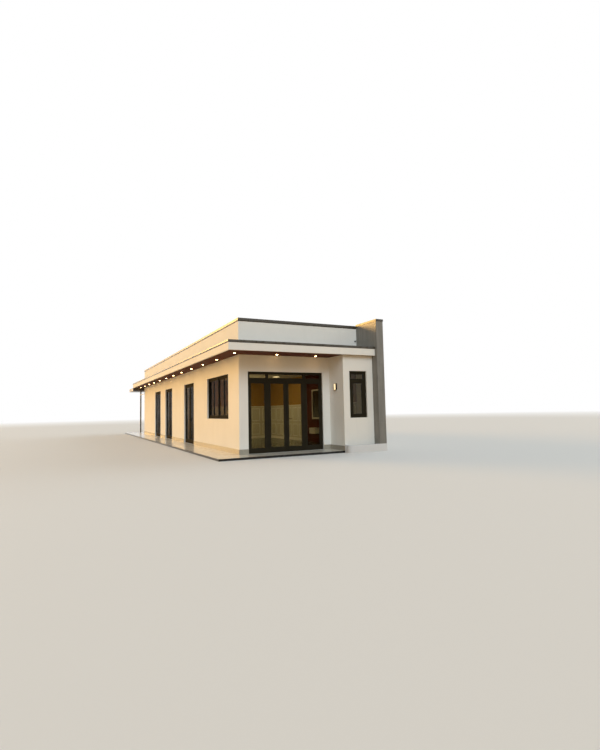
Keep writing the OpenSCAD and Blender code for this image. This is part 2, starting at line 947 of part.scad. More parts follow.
module side_window_frame()
{
    color(frame_paint) placed() in_left_wall(side_window_y)
    {
        ring(0, side_window_z, side_window_w, side_window_h, frame_w, frame_w, frame_w,
            recess, frame_d);
        for (i = [0:side_window_sashes - 1])
            translate([0, i % 2 * leaf_t / 2, 0])
                fixed_sash(frame_w + i * side_sash_w, side_window_z + frame_w, side_sash_w,
                    side_window_h - 2 * frame_w, sash_w / 2 + 5, sash_w, sash_w);
    }
}

module side_window_glass()
{
    color(pane, 0.6) placed() in_left_wall(side_window_y)
        for (i = [0:side_window_sashes - 1])
            translate([0, i % 2 * leaf_t / 2, 0])
                fixed_pane(frame_w + i * side_sash_w, side_window_z + frame_w, side_sash_w,
                    side_window_h - 2 * frame_w, sash_w / 2 + 5, sash_w, sash_w);
}

bay_sash_h = bay_bar_z - bay_window_z - bay_frame_w;
bay_clear_w = bay_window_w - 2 * bay_frame_w;

module in_bay_wall()
{
    translate([bay_window_x, -bay_d, 0]) children();
}

module bay_window_frame()
{
    color(frame_paint) placed() in_bay_wall()
    {
        ring(0, bay_window_z, bay_window_w, head_h - bay_window_z, bay_frame_w, bay_frame_w,
            bay_frame_w, recess, frame_d);
        translate([0, recess, bay_bar_z]) cube([bay_window_w, frame_d, bay_frame_w]);
        fixed_sash(bay_frame_w, bay_window_z + bay_frame_w, bay_clear_w, bay_sash_h,
            bay_sash_w, bay_sash_w / 2, bay_sash_w / 2);
        fixed_sash(bay_frame_w, bay_bar_z + bay_frame_w, bay_clear_w,
            bay_light_h - bay_frame_w, bead_w, bead_w, bead_w);
    }
}

module bay_window_glass()
{
    color(pane, 0.6) placed() in_bay_wall()
    {
        fixed_pane(bay_frame_w, bay_window_z + bay_frame_w, bay_clear_w, bay_sash_h,
            bay_sash_w, bay_sash_w / 2, bay_sash_w / 2);
        fixed_pane(bay_frame_w, bay_bar_z + bay_frame_w, bay_clear_w,
            bay_light_h - bay_frame_w, bead_w, bead_w, bead_w);
    }
}

// Box lamp on the bay's side wall: a dark body that wraps a lit front
module lamp_at()
{
    translate([bay_x, -bay_d + lamp_in, lamp_z]) children();
}

module wall_lamp()
{
    color(frame_paint) placed() lamp_at() difference()
    {
        translate([-lamp_d, 0, 0]) cube([lamp_d, lamp_w, lamp_h]);
        translate([-lamp_d - 1, diffuser_t, diffuser_t])
            cube([diffuser_t + 1, lamp_w - 2 * diffuser_t, lamp_h - 2 * diffuser_t]);
    }
}

module lamp_diffuser()
{
    color("lightyellow") placed() lamp_at()
        translate([-lamp_d, diffuser_t, diffuser_t])
            cube([diffuser_t, lamp_w - 2 * diffuser_t, lamp_h - 2 * diffuser_t]);
}

// Roof that starts under the canopy's rear fascia
module porch_roof()
{
    color(dark) placed()
        span([-canopy_side, canopy_y1 - fascia_t, soffit_h - porch_t],
            [house_w, rear_y, soffit_h]);
}

// Slim posts at the porch's rear corners, with a rail back to the wall at the left
module porch_posts()
{
    y = rear_y - 2 * post_w;
    color(frame_paint) placed()
    {
        for (x = [post_in, house_w - post_in - post_w])
            span([x, y, 0], [x + post_w, y + post_w, soffit_h - porch_t]);
        span([post_in, house_l, porch_rail_z],
            [post_in + porch_rail_h, y + 1, porch_rail_z + porch_rail_h]);
    }
}

floor_slab();
terrace_riser();
terrace_paving();
front_wall_piers();
front_wall_head();
bay_side_wall();
bay_front_wall();
left_wall_front();
left_wall_piers();
left_wall_heads();
right_wall();
rear_wall_piers();
rear_wall_head();
inner_wall();
roof_slab();
canopy_long_fascia();
canopy_cross_fascias();
canopy_coping();
soffit_lining();
soffit_lights();
long_parapets();
cross_parapets();
long_parapet_copings();
cross_parapet_copings();
overflow_spout();
fin_wall();
fin_coping();
planter_kerb();
skirting();
front_door_frame();
front_side_lights();
front_fixed_glass();
front_leaf(false);  // front_leaf_left
front_glass(false);  // front_glass_left
front_leaf(true);  // front_leaf_right
front_glass(true);  // front_glass_right
side_door_frames();
side_leaf(0, false);  // side_leaf_1_near
side_glass(0, false);  // side_glass_1_near
side_leaf(0, true);  // side_leaf_1_far
side_glass(0, true);  // side_glass_1_far
side_leaf(1, false);  // side_leaf_2_near
side_glass(1, false);  // side_glass_2_near
side_leaf(1, true);  // side_leaf_2_far
side_glass(1, true);  // side_glass_2_far
side_leaf(2, false);  // side_leaf_3_near
side_glass(2, false);  // side_glass_3_near
side_leaf(2, true);  // side_leaf_3_far
side_glass(2, true);  // side_glass_3_far
rear_door();
rear_door_glass();
side_window_frame();
side_window_glass();
bay_window_frame();
bay_window_glass();
wall_lamp();
lamp_diffuser();
porch_roof();
porch_posts();
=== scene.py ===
"""Dresses a flat-roofed bungalow: paint, tiles, boards, glazing, fittings, inner walls, stage and camera."""
import json
import math

import bmesh
import bpy
from bpy.props import FloatProperty, FloatVectorProperty, PointerProperty
from bpy.types import Operator, Panel, PropertyGroup
from mathutils import Matrix, Vector


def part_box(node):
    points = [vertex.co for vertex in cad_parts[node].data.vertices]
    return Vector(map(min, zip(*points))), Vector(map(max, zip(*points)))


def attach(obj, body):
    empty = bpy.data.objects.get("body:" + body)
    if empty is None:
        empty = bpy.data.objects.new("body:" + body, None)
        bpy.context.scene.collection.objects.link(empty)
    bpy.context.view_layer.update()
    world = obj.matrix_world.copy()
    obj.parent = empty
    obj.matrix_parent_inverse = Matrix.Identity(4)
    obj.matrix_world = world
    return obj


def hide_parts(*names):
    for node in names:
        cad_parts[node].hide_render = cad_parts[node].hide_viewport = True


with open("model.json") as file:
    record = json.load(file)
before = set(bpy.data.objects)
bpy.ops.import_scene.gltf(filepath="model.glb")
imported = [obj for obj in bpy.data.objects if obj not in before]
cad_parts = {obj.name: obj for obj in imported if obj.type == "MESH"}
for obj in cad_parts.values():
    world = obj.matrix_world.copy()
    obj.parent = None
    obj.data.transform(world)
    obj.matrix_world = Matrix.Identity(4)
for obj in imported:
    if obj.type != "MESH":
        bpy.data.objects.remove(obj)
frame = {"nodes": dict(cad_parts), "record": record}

bl_info = {
    "name": "Flat-Roofed Bungalow Finishes",
    "version": (1, 0, 0),
    "blender": (4, 5, 0),
    "location": "View3D > Sidebar > Bungalow",
    "description": "Dresses a flat-roofed bungalow with tiles, boards, glazing and fittings",
    "category": "Add Mesh",
}

MM = 0.001
ACROSS = Vector((1, 0, 0))
BACK = Vector((0, 1, 0))
UP = Vector((0, 0, 1))
# Faces that meet at a sharper turn than this keep a hard edge
SHARP_ANGLE = math.radians(32)
# How far the ceilings hang below the roof slab
CEILING_DROP = 0.32
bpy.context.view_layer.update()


def low(node):
    """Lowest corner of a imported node."""
    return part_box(node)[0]


def high(node):
    """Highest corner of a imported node."""
    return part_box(node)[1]


# Faces of the house that the finishes line up with
LEFT = low("left_wall_front").x
RIGHT = high("right_wall").x
FRONT = low("front_wall_piers").y
REAR = high("rear_wall_head").y
BAY_LEFT = low("bay_side_wall").x
BAY_FRONT = low("bay_front_wall").y
FIN_LEFT = low("fin_wall").x
INNER_LEFT = high("left_wall_front").x
INNER_RIGHT = low("right_wall").x
INNER_FRONT = high("front_wall_head").y
INNER_WALL = low("inner_wall").y
FLOOR = high("floor_slab").z
ROOF = high("roof_slab").z
ROOM_TOP = high("front_wall_head").z - CEILING_DROP
TERRACE = low("terrace_paving")
TERRACE_END = high("terrace_paving")
BODIES = frame["record"]["behaviour"]["bodies"]


# Settings


def srgb(red, green, blue):
    """Linear colour of an 8-bit screen colour."""
    shares = (red / 255, green / 255, blue / 255)
    return tuple(((share + 0.055) / 1.055) ** 2.4 if share > 0.04045 else share / 12.92 for share in shares)


def colour(name, description, value):
    """A colour setting."""
    return FloatVectorProperty(name=name, description=description, subtype="COLOR", size=3, min=0, max=1,
                               default=value)


def size(name, description, value):
    """A length setting."""
    return FloatProperty(name=name, description=description, default=value, min=0.0005, max=5,
                         subtype="DISTANCE", unit="LENGTH", precision=4)


def level(name, description, value):
    """A setting for the strength of a light."""
    return FloatProperty(name=name, description=description, default=value, min=0)


def index(name, description, value):
    """A setting for a refractive index."""
    return FloatProperty(name=name, description=description, default=value, min=1, max=2)


def angle(name, description, degrees):
    """An angle setting."""
    return FloatProperty(name=name, description=description, default=math.radians(degrees), subtype="ANGLE",
                         unit="ROTATION")


def direction(name, description, value):
    """A direction setting."""
    return FloatVectorProperty(name=name, description=description, subtype="DIRECTION", size=3,
                               default=value)


def camera_size(name, description, value):
    """A setting in millimetres on a camera."""
    return FloatProperty(name=name, description=description, default=value, min=1, subtype="DISTANCE_CAMERA",
                         unit="CAMERA")


class PaintSettings(PropertyGroup):
    """Colours of the painted walls, the roof and the copings."""

    render: colour("Render", "Paint on the outer walls, parapets and fascia", srgb(229, 227, 220))
    kerb: colour("Kerb", "Paint on the planter kerb", srgb(212, 214, 216))
    screed: colour("Screed", "Cement on the roof slab", srgb(150, 147, 140))
    coping: colour("Coping", "Paint on the copings", srgb(62, 56, 45))
    dust: colour("Dust", "Dust on top of the copings", srgb(140, 134, 124))
    porch: colour("Porch", "Paint on the rear porch", srgb(60, 52, 46))
    room: colour("Room", "Paint on the walls of the front room", srgb(162, 126, 58))
    # Panelling darker and mouldings lighter than one real paint: painted shade on the fields, a painted
    # highlight on the mouldings
    panelling: colour("Panelling", "Paint on the wall panelling of the front room, darkened as painted shade", srgb(204, 201, 182))
    # On the joinery this pale colour is its own paint
    moulding: colour("Mouldings", "Paint on the front room's joinery, and on its mouldings as a painted highlight", srgb(240, 236, 224))
    recess: colour("Recess", "Paint on the back of the framed recess", srgb(24, 22, 20))
    ceiling: colour("Ceiling", "Paint on the ceilings", srgb(214, 206, 192))


class TileSettings(PropertyGroup):
    """Sizes and colours of the tiling."""

    floor_size: size("Floor tile", "Side of a floor tile", 0.6)
    joint: size("Joint", "Width of a tile joint", 0.003)
    edge: size("Edge", "Rounding of a tile's edge", 0.0015)
    floor: colour("Floor", "Polished floor tile", srgb(226, 221, 208))
    floor_cloud: colour("Floor clouds", "Darker clouds in the floor tile", srgb(198, 193, 180))
    room_floor: colour("Room floor", "Polished floor tile inside the house", srgb(90, 98, 86))
    grout: colour("Grout", "Cement in the joints", srgb(126, 120, 110))
    riser: colour("Riser", "Polished stone under the terrace edge", srgb(22, 21, 20))
    skirting: colour("Skirting", "Skirting tile round the walls", srgb(156, 149, 134))
    skirting_length: size("Skirting length", "Length of a skirting tile", 0.6)
    fin: colour("Fin tile", "Cement-look tile of the fin wall", srgb(124, 121, 114))
    fin_height: size("Fin tile height", "Height of a tile on the fin wall", 1.2)
    fin_groove: size("Fin groove", "Distance between the grooves in a fin tile", 0.1)


class TimberSettings(PropertyGroup):
    """Sizes and colours of the boards."""

    board: size("Board", "Width of a soffit board", 0.094)
    gap: size("Gap", "Gap between two soffit boards", 0.006)
    dark: colour("Dark grain", "Dark grain of the boards", srgb(62, 18, 5))
    light: colour("Light grain", "Light grain of the boards", srgb(122, 46, 12))
    # The channel colour is near-black painted shade in the gap beside the fascia
    channel: colour("Channel", "Painted shade in the gap between the boards and the fascia", srgb(18, 16, 15))


class GlazingSettings(PropertyGroup):
    """Sizes, colours and refraction of the frames, gaskets and glass."""

    metal: colour("Frame", "Powder coat on the frames", srgb(40, 36, 27))
    rubber: colour("Rubber", "Rubber of the gaskets", srgb(14, 14, 14))
    bite: size("Bite", "How far a pane reaches into its groove", 0.012)
    gasket: size("Gasket", "Width of the rubber round a pane", 0.005)
    glass: colour("Glass", "Tint of the glass in the front and the bay", srgb(174, 168, 142))
    side_glass: colour("Side glass", "Tint of the glass along the side and the rear", srgb(120, 98, 64))
    bay_index: index("Bay index", "Refractive index of the glass in the bay", 1.3)
    front_index: index("Front index", "Refractive index of the glass in the front", 1.07)
    side_index: index("Side index", "Refractive index of the glass along the side and the rear", 1.045)


class LightSettings(PropertyGroup):
    """Colours, levels and directions of the lights."""

    fitting: colour("Fitting", "Paint on the rims of the lights", srgb(232, 228, 220))
    opal: colour("Opal", "Opal plastic of the ceiling and soffit lights", srgb(250, 244, 230))
    lamp_opal: colour("Lamp opal", "Opal plastic of the wall lamp", srgb(255, 236, 196))
    lens: colour("Lens", "Light of the soffit lights", (1.0, 0.58, 0.25))
    lens_level: level("Lens level", "Strength of the soffit lights", 28.0)
    lamp: colour("Lamp", "Light of the wall lamp", (1.0, 0.72, 0.38))
    lamp_level: level("Lamp level", "Strength of the wall lamp", 1.1)
    room: colour("Room", "Light of the ceiling light", (1.0, 0.84, 0.58))
    room_level: level("Room level", "Strength of the ceiling light's lens", 5.0)
    room_power: FloatProperty(name="Room power", description="Light that is shed in the front room",
                              default=135.0, min=0, subtype="POWER", unit="POWER")
    sky: colour("Sky", "Even light from all round", (1.0, 0.95, 0.83))
    sky_level: level("Sky level", "Strength of the even light from all round", 0.44)
    key: colour("Key", "Colour of the soft light from the left", (1.0, 0.56, 0.14))
    key_level: level("Key level", "Strength of the soft light from the left", 2.8)
    key_from: direction("Key direction", "Where the left light comes from", (-0.52, 0.84, 0.15))
    key_spread: angle("Key spread", "Softness of the light from the left", 26)
    front: colour("Front", "Colour of the soft light from the front and the right", (0.77, 0.89, 1.0))
    front_level: level("Front level", "Strength of the soft light from the front", 1.42)
    front_from: direction("Front direction", "Where the front light comes from", (-0.28, -0.8, 0.52))
    front_spread: angle("Front spread", "Softness of the light from the front", 34)
    side_level: level("Side level", "Strength of the soft light from the right", 1.0)
    side_from: direction("Side direction", "Where the right light comes from", (0.8, 0.1, 0.45))
    side_spread: angle("Side spread", "Softness of the light from the right", 50)


class StageSettings(PropertyGroup):
    """Floor and camera."""

    floor: colour("Floor", "Colour of the stage floor", (0.74, 0.73, 0.71))
    bounce: colour("Bounce", "Colour that the floor throws back on the house", (0.64, 0.42, 0.19))
    sensor: camera_size("Sensor", "Width of the camera's sensor", 36)
    lens: camera_size("Lens", "Focal length of the camera", 22.27)
    place: FloatVectorProperty(name="Place", description="Place of the camera", size=3, unit="LENGTH",
                               subtype="TRANSLATION", default=(-7.122, -25.5523, 1.4738))
    yaw: angle("Yaw", "Turn of the camera from straight back to the right", 26.861)
    pitch: angle("Pitch", "Upward tilt of the camera", 4.379)
    roll: angle("Roll", "Roll of the camera", -1.2146)


class BungalowSettings(PropertyGroup):
    """All settings of the bungalow's finishes."""

    paint: PointerProperty(type=PaintSettings, name="Paint", description="Painted walls")
    tiles: PointerProperty(type=TileSettings, name="Tiles", description="Tiling")
    timber: PointerProperty(type=TimberSettings, name="Timber", description="Boards")
    glazing: PointerProperty(type=GlazingSettings, name="Glazing", description="Frames and glass")
    lights: PointerProperty(type=LightSettings, name="Lights", description="Lights")
    stage: PointerProperty(type=StageSettings, name="Stage", description="Floor and camera")


# Mesh work


def add_prism(bm, outline, bottom, top, edge=0.0):
    """A flat block over a counter-clockwise outline in plan, with its edges rounded off."""
    foot = [bm.verts.new((x, y, bottom)) for x, y in outline]
    head = [bm.verts.new((x, y, top)) for x, y in outline]
    faces = [bm.faces.new(foot[::-1]), bm.faces.new(head)]
    for i in range(len(outline)):
        j = (i + 1) % len(outline)
        faces.append(bm.faces.new((foot[i], foot[j], head[j], head[i])))
    if edge:
        edges = {e for face in faces for e in face.edges}
        bmesh.ops.bevel(bm, geom=list(edges), offset=edge, segments=1, profile=0.5, affect="EDGES",
                        clamp_overlap=True)


def add_block(bm, start, end, edge=0.0):
    """A block between two opposite corners."""
    x0, x1 = sorted((start[0], end[0]))
    y0, y1 = sorted((start[1], end[1]))
    z0, z1 = sorted((start[2], end[2]))
    add_prism(bm, [(x0, y0), (x1, y0), (x1, y1), (x0, y1)], z0, z1, edge)


def wall_face(x, y, along, out):
    """A wall face: a point of it in plan, the direction along it, and the direction that pieces reach in."""
    return Vector((x, y, 0)), along, out


def add_wall_block(bm, wall, span, reach, rise, edge=0.0):
    """A block on a wall face: its span along the face, its reach off it and its rise above the ground."""
    start, along, out = wall
    near = start + along * span[0] + out * reach[0]
    far = start + along * span[1] + out * reach[1]
    add_block(bm, (near.x, near.y, rise[0]), (far.x, far.y, rise[1]), edge)


def add_skin(bm, rings, closed=False):
    """Faces between rings of equal length, and from the last to the first where closed."""
    count = len(rings[0])
    for i in range(len(rings) - (0 if closed else 1)):
        near, far = rings[i], rings[(i + 1) % len(rings)]
        for j in range(count):
            k = (j + 1) % count
            bm.faces.new((near[j], far[j], far[k], near[k]))


def add_ring(bm, centre, across, out, width, height, profile):
    """A mitred moulding round an upright rectangle. A profile point is (inward from the edge, outward)."""
    rings = []
    for side, end in ((-1, -1), (1, -1), (1, 1), (-1, 1)):
        corner = centre + across * (side * width / 2) + UP * (end * height / 2)
        rings.append([bm.verts.new(corner - (across * side + UP * end) * inward + out * outward)
                      for inward, outward in profile])
    add_skin(bm, rings, closed=True)


def add_turned(bm, centre, profile):
    """A turned piece with an upright axis and closed ends. A profile point is (radius, height)."""
    steps = 32
    side = UP.orthogonal().normalized()
    other = UP.cross(side)
    turns = [math.tau * i / steps for i in range(steps)]
    spokes = [side * math.cos(turn) + other * math.sin(turn) for turn in turns]
    rings = []
    for radius, rise in profile:
        rings.append([bm.verts.new(centre + UP * rise + spoke * radius) for spoke in spokes])
    add_skin(bm, rings)
    bm.faces.new(rings[0][::-1])
    bm.faces.new(rings[-1])


def add_object(name, data):
    """A new object in the scene."""
    item = bpy.data.objects.new(name, data)
    bpy.context.scene.collection.objects.link(item)
    return item


def finish_piece(name, bm, material, body="house"):
    """Turns the mesh work into a piece that has a material and rides on a body."""
    bmesh.ops.recalc_face_normals(bm, faces=bm.faces[:])
    mesh = bpy.data.meshes.new(name)
    bm.to_mesh(mesh)
    bm.free()
    mesh.shade_smooth()
    mesh.set_sharp_from_angle(angle=SHARP_ANGLE)
    mesh.materials.append(material)
    piece = add_object(name, mesh)
    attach(piece, body)
    return piece


def dress(nodes, material):
    """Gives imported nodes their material."""
    for node in nodes:
        mesh = frame["nodes"][node].data
        mesh.materials.clear()
        mesh.materials.append(material)


def body_of(node):
    """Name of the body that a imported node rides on."""
    return next(body for body, members in BODIES.items() if node in members)


def solids_of(node):
    """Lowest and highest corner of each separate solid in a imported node."""
    mesh = frame["nodes"][node].data
    group = list(range(len(mesh.vertices)))

    def first(i):
        """Vertex that stands for the group of vertex i."""
        while group[i] != i:
            group[i] = group[group[i]]
            i = group[i]
        return i

    places = {}
    for vertex in mesh.vertices:
        key = tuple(round(c / MM, 1) for c in vertex.co)
        group[first(vertex.index)] = first(places.setdefault(key, vertex.index))
    for face in mesh.polygons:
        for corner in face.vertices[1:]:
            group[first(corner)] = first(face.vertices[0])
    solids = {}
    for vertex in mesh.vertices:
        solids.setdefault(first(vertex.index), []).append(vertex.co)
    boxes = [(Vector(map(min, zip(*points))), Vector(map(max, zip(*points)))) for points in solids.values()]
    return sorted(boxes, key=lambda box: tuple(box[0]))


# Materials

# Sockets of a mix node that mixes two colours
MIX_FACTOR, MIX_A, MIX_B, MIX_RESULT = 0, 6, 7, 2


class Finish:
    """The node tree of one material, worked out in the piece's own coordinates."""

    def __init__(self, name, **sockets):
        self.material = bpy.data.materials.new(name)
        self.material.use_nodes = True
        self.tree = self.material.node_tree
        self.shader = self.tree.nodes["Principled BSDF"]
        # A socket such as Specular IOR Level is given as specular_ior_level
        for socket, value in sockets.items():
            self.put(socket.replace("_", " ").title().replace("Ior", "IOR"), value)
        self.place = self.add("TexCoord").outputs["Object"]

    def add(self, kind, inputs=None, **settings):
        """A new node with its settings, its inputs given as values or as sockets to link."""
        node = self.tree.nodes.new("ShaderNode" + kind)
        for setting, value in settings.items():
            setattr(node, setting, value)
        for key, value in (inputs or {}).items():
            if isinstance(value, bpy.types.NodeSocket):
                self.tree.links.new(value, node.inputs[key])
            else:
                node.inputs[key].default_value = value
        return node

    def put(self, socket, value):
        """Sets or links a socket of the shader."""
        target = self.shader.inputs[socket]
        if isinstance(value, bpy.types.NodeSocket):
            self.tree.links.new(value, target)
        elif isinstance(value, (int, float)):
            target.default_value = value
        else:
            target.default_value = (*value, 1)

    def noise(self, scale, detail=3.0, stretch=(1, 1, 1), roughness=0.55):
        """Noise from 0 to 1, with the piece's coordinates multiplied by stretch."""
        place = self.add("VectorMath", {0: self.place, 1: stretch}, operation="MULTIPLY").outputs[0]
        inputs = {"Vector": place, "Scale": scale, "Detail": detail, "Roughness": roughness}
        return self.add("TexNoise", inputs).outputs["Fac"]

    def map(self, value, low_in, high_in, low_out, high_out):
        """A value moved from one range to another, and kept inside it."""
        inputs = {"Value": value, "From Min": low_in, "From Max": high_in, "To Min": low_out,
                  "To Max": high_out}
        return self.add("MapRange", inputs).outputs["Result"]

    def mix(self, factor, first, second):
        """Two colours mixed."""
        ends = [c if isinstance(c, bpy.types.NodeSocket) else (*c, 1) for c in (first, second)]
        inputs = {MIX_FACTOR: factor, MIX_A: ends[0], MIX_B: ends[1]}
        return self.add("Mix", inputs, data_type="RGBA").outputs[MIX_RESULT]

    def sum(self, first, second):
        """Two values added."""
        return self.add("Math", {0: first, 1: second}, operation="ADD").outputs[0]

    def times(self, first, second):
        """Two values multiplied."""
        return self.add("Math", {0: first, 1: second}, operation="MULTIPLY").outputs[0]

    def patches(self, scale, detail, start, end, least=0.0, most=1.0, stretch=(1, 1, 1), roughness=0.55):
        """Noise made into patches, from least where it is under start to most where it is over end."""
        return self.map(self.noise(scale, detail, stretch, roughness), start, end, least, most)

    def vary(self, tone, other, most):
        """A colour with a share of another colour, up to most, for each loose part of the mesh."""
        chance = self.add("NewGeometry").outputs["Random Per Island"]
        return self.mix(self.map(chance, 0, 1, 0, most), tone, other)

    def upward(self):
        """1 on faces that look up, 0 on the rest."""
        normal = self.add("NewGeometry").outputs["Normal"]
        return self.map(self.add("SeparateXYZ", {0: normal}).outputs["Z"], 0.5, 0.95, 0, 1)

    def roughen(self, scale, least, most, detail=3.0):
        """Roughness that wanders from least to most."""
        self.put("Roughness", self.patches(scale, detail, 0.3, 0.7, least, most))

    def bump(self, height, depth):
        """Bumps of the given depth in metres."""
        normal = self.add("Bump", {"Height": height, "Distance": depth, "Strength": 1.0}).outputs["Normal"]
        self.put("Normal", normal)


def shade(base, amount):
    """A colour made darker, or lighter where amount is over 1."""
    return tuple(min(1.0, c * amount) for c in base)


def render_finish(name, base):
    """Paint over smooth render: soft mottling, faint rain marks and a fine rolled texture."""
    paint = Finish(name, base_color=base)
    tone = paint.mix(paint.patches(0.8, 4, 0.3, 0.7), shade(base, 0.955), shade(base, 1.02))
    marks = paint.patches(1.0, 5, 0.56, 0.75, most=0.5, stretch=(5, 5, 0.35))
    paint.put("Base Color", paint.mix(marks, tone, shade(base, 0.93)))
    paint.roughen(26, 0.62, 0.82)
    paint.bump(paint.sum(paint.noise(160, 2), paint.times(paint.noise(5, 2), 2.0)), 0.0006)
    return paint.material


def satin_finish(name, base, roughness=0.4):
    """Satin paint on joinery, with brush marks."""
    paint = Finish(name, base_color=base)
    paint.put("Base Color", paint.mix(paint.noise(3, 3), shade(base, 0.95), shade(base, 1.02)))
    paint.roughen(40, roughness - 0.06, roughness + 0.08, detail=2)
    paint.bump(paint.noise(60, 2, (1, 1, 0.15)), 0.0002)
    return paint.material


def coping_finish(name, base, dust):
    """Dark smooth paint on concrete, paler with dust on top."""
    paint = Finish(name, base_color=base, specular_ior_level=0.6)
    tone = paint.mix(paint.patches(2.5, 5, 0.35, 0.7), shade(base, 0.85), shade(base, 1.18))
    dusty = paint.times(paint.upward(), paint.patches(7, 4, 0.35, 0.75, 0.1, 0.55))
    paint.put("Base Color", paint.mix(dusty, tone, dust))
    smooth = paint.patches(6, 2, 0.3, 0.7, 0.24, 0.32)
    paint.put("Roughness", paint.sum(smooth, paint.times(paint.upward(), 0.5)))
    paint.bump(paint.noise(9, 1), 0.0002)
    return paint.material


def polished_tile_finish(name, base, cloud):
    """Polished porcelain with soft clouds and thin veins, a little different on each tile."""
    tile = Finish(name, base_color=base, specular_ior_level=0.6)
    clouds = tile.patches(3.2, 9, 0.36, 0.66, stretch=(1, 1.4, 1), roughness=0.62)
    ridges = tile.noise(1.7, 12, (1.6, 1, 1), 0.7)
    veins = tile.times(tile.map(ridges, 0.485, 0.5, 0, 1), tile.map(ridges, 0.5, 0.515, 1, 0))
    tone = tile.mix(tile.times(veins, 0.35), tile.mix(clouds, cloud, base), shade(cloud, 0.8))
    tile.put("Base Color", tile.vary(tone, shade(base, 0.86), 0.35))
    tile.put("Roughness", tile.patches(9, 4, 0.3, 0.75, 0.14, 0.26))
    tile.bump(tile.noise(2.4, 1), 0.0004)
    return tile.material


def cement_finish(name, base, depth=0.0008, sides=None):
    """Bare cement, sandy and mottled, with its upright faces painted where sides has a colour."""
    cement = Finish(name, base_color=base)
    tone = cement.mix(cement.noise(4, 6), shade(base, 0.82), shade(base, 1.12))
    tone = cement.mix(cement.patches(180, 2, 0.55, 0.7, most=0.3), tone, shade(base, 0.6))
    cement.put("Base Color", cement.mix(cement.upward(), sides, tone) if sides else tone)
    cement.roughen(20, 0.8, 0.95)
    cement.bump(cement.noise(220, 4), depth)
    return cement.material


def skirting_finish(name, base):
    """Satin tile with fine cloudy specks."""
    tile = Finish(name, base_color=base)
    tone = tile.mix(tile.patches(14, 6, 0.35, 0.68), shade(base, 0.88), shade(base, 1.08))
    tile.put("Base Color", tile.vary(tone, shade(base, 0.86), 0.4))
    tile.roughen(24, 0.4, 0.55)
    tile.bump(tile.noise(120, 2), 0.0002)
    return tile.material


def fin_tile_finish(name, base):
    """Matt cement-look tile with soft upright streaks, a little different on each tile."""
    tile = Finish(name, base_color=base)
    streaks = tile.patches(2.2, 6, 0.32, 0.68, stretch=(7, 7, 0.55))
    tone = tile.mix(streaks, shade(base, 0.8), shade(base, 1.16))
    tone = tile.mix(tile.patches(5, 5, 0.5, 0.72, most=0.5), tone, shade(base, 0.78))
    tile.put("Base Color", tile.vary(tone, shade(base, 0.8), 0.5))
    tile.roughen(18, 0.3, 0.42, detail=4)
    tile.bump(tile.sum(tile.noise(70, 4), tile.noise(4, 3, (6, 6, 0.4))), 0.0005)
    return tile.material


def polished_stone_finish(name, base):
    """Polished black stone with pale specks."""
    stone = Finish(name, base_color=base)
    specks = stone.patches(420, 2, 0.62, 0.72, most=0.6)
    stone.put("Base Color", stone.mix(specks, base, shade(base, 6)))
    stone.roughen(16, 0.07, 0.16)
    stone.bump(stone.noise(6, 1), 0.0003)
    return stone.material


def timber_finish(name, dark, light, along, roughness=0.5):
    """Stained boards with grain along one axis, a little different on each board."""
    across_grain, along_grain = 26.0, 1.1
    stretch = [across_grain] * 3
    stretch[along] = along_grain
    timber = Finish(name, base_color=dark, specular_ior_level=0.12)
    grain = timber.patches(1.6, 7, 0.34, 0.68, stretch=stretch, roughness=0.62)
    fine = timber.noise(9, 3, stretch, 0.5)
    tone = timber.mix(grain, dark, light)
    tone = timber.mix(timber.map(fine, 0.45, 0.62, 0, 0.45), tone, shade(dark, 0.6))
    timber.put("Base Color", timber.vary(tone, shade(dark, 0.9), 0.5))
    timber.put("Roughness", timber.map(grain, 0, 1, roughness, roughness + 0.12))
    timber.bump(timber.sum(grain, timber.times(fine, 0.4)), 0.0005)
    return timber.material


def powder_coat_finish(name, base):
    """Powder coat with a fine orange-peel texture and a little dust."""
    coat = Finish(name, base_color=base, specular_ior_level=0.015)
    coat.put("Base Color", coat.mix(coat.patches(3, 4, 0.4, 0.7), base, shade(base, 1.25)))
    coat.roughen(14, 0.68, 0.82, detail=4)
    coat.bump(coat.noise(700, 1), 0.0001)
    return coat.material


def rubber_finish(name, base):
    """Matt black rubber."""
    rubber = Finish(name, base_color=base, roughness=0.8)
    rubber.put("Base Color", rubber.mix(rubber.noise(30), base, shade(base, 1.6)))
    rubber.bump(rubber.noise(300), 0.0001)
    return rubber.material


def glass_finish(name, base, ior):
    """Tinted clear glass with a trace of dust. The lower its index is, the less it mirrors."""
    glass = Finish(name, base_color=base, transmission_weight=1.0, ior=ior)
    glass.put("Roughness", glass.patches(2.5, 5, 0.35, 0.75, 0.004, 0.03))
    return glass.material


def lit_finish(name, base, light, strength):
    """Opal plastic lit from behind."""
    lens = Finish(name, base_color=base, roughness=0.4, emission_color=light, emission_strength=strength)
    lens.roughen(60, 0.35, 0.5)
    return lens.material


def seen_directly(tree):
    """1 for rays from the camera, a mirror or glass, 0 for light that bounces."""
    path = tree.nodes.new("ShaderNodeLightPath")
    seen = path.outputs["Is Camera Ray"]
    for ray in ("Is Glossy Ray", "Is Transmission Ray"):
        either = tree.nodes.new("ShaderNodeMath")
        either.operation = "MAXIMUM"
        tree.links.new(seen, either.inputs[0])
        tree.links.new(path.outputs[ray], either.inputs[1])
        seen = either.outputs[0]
    return seen


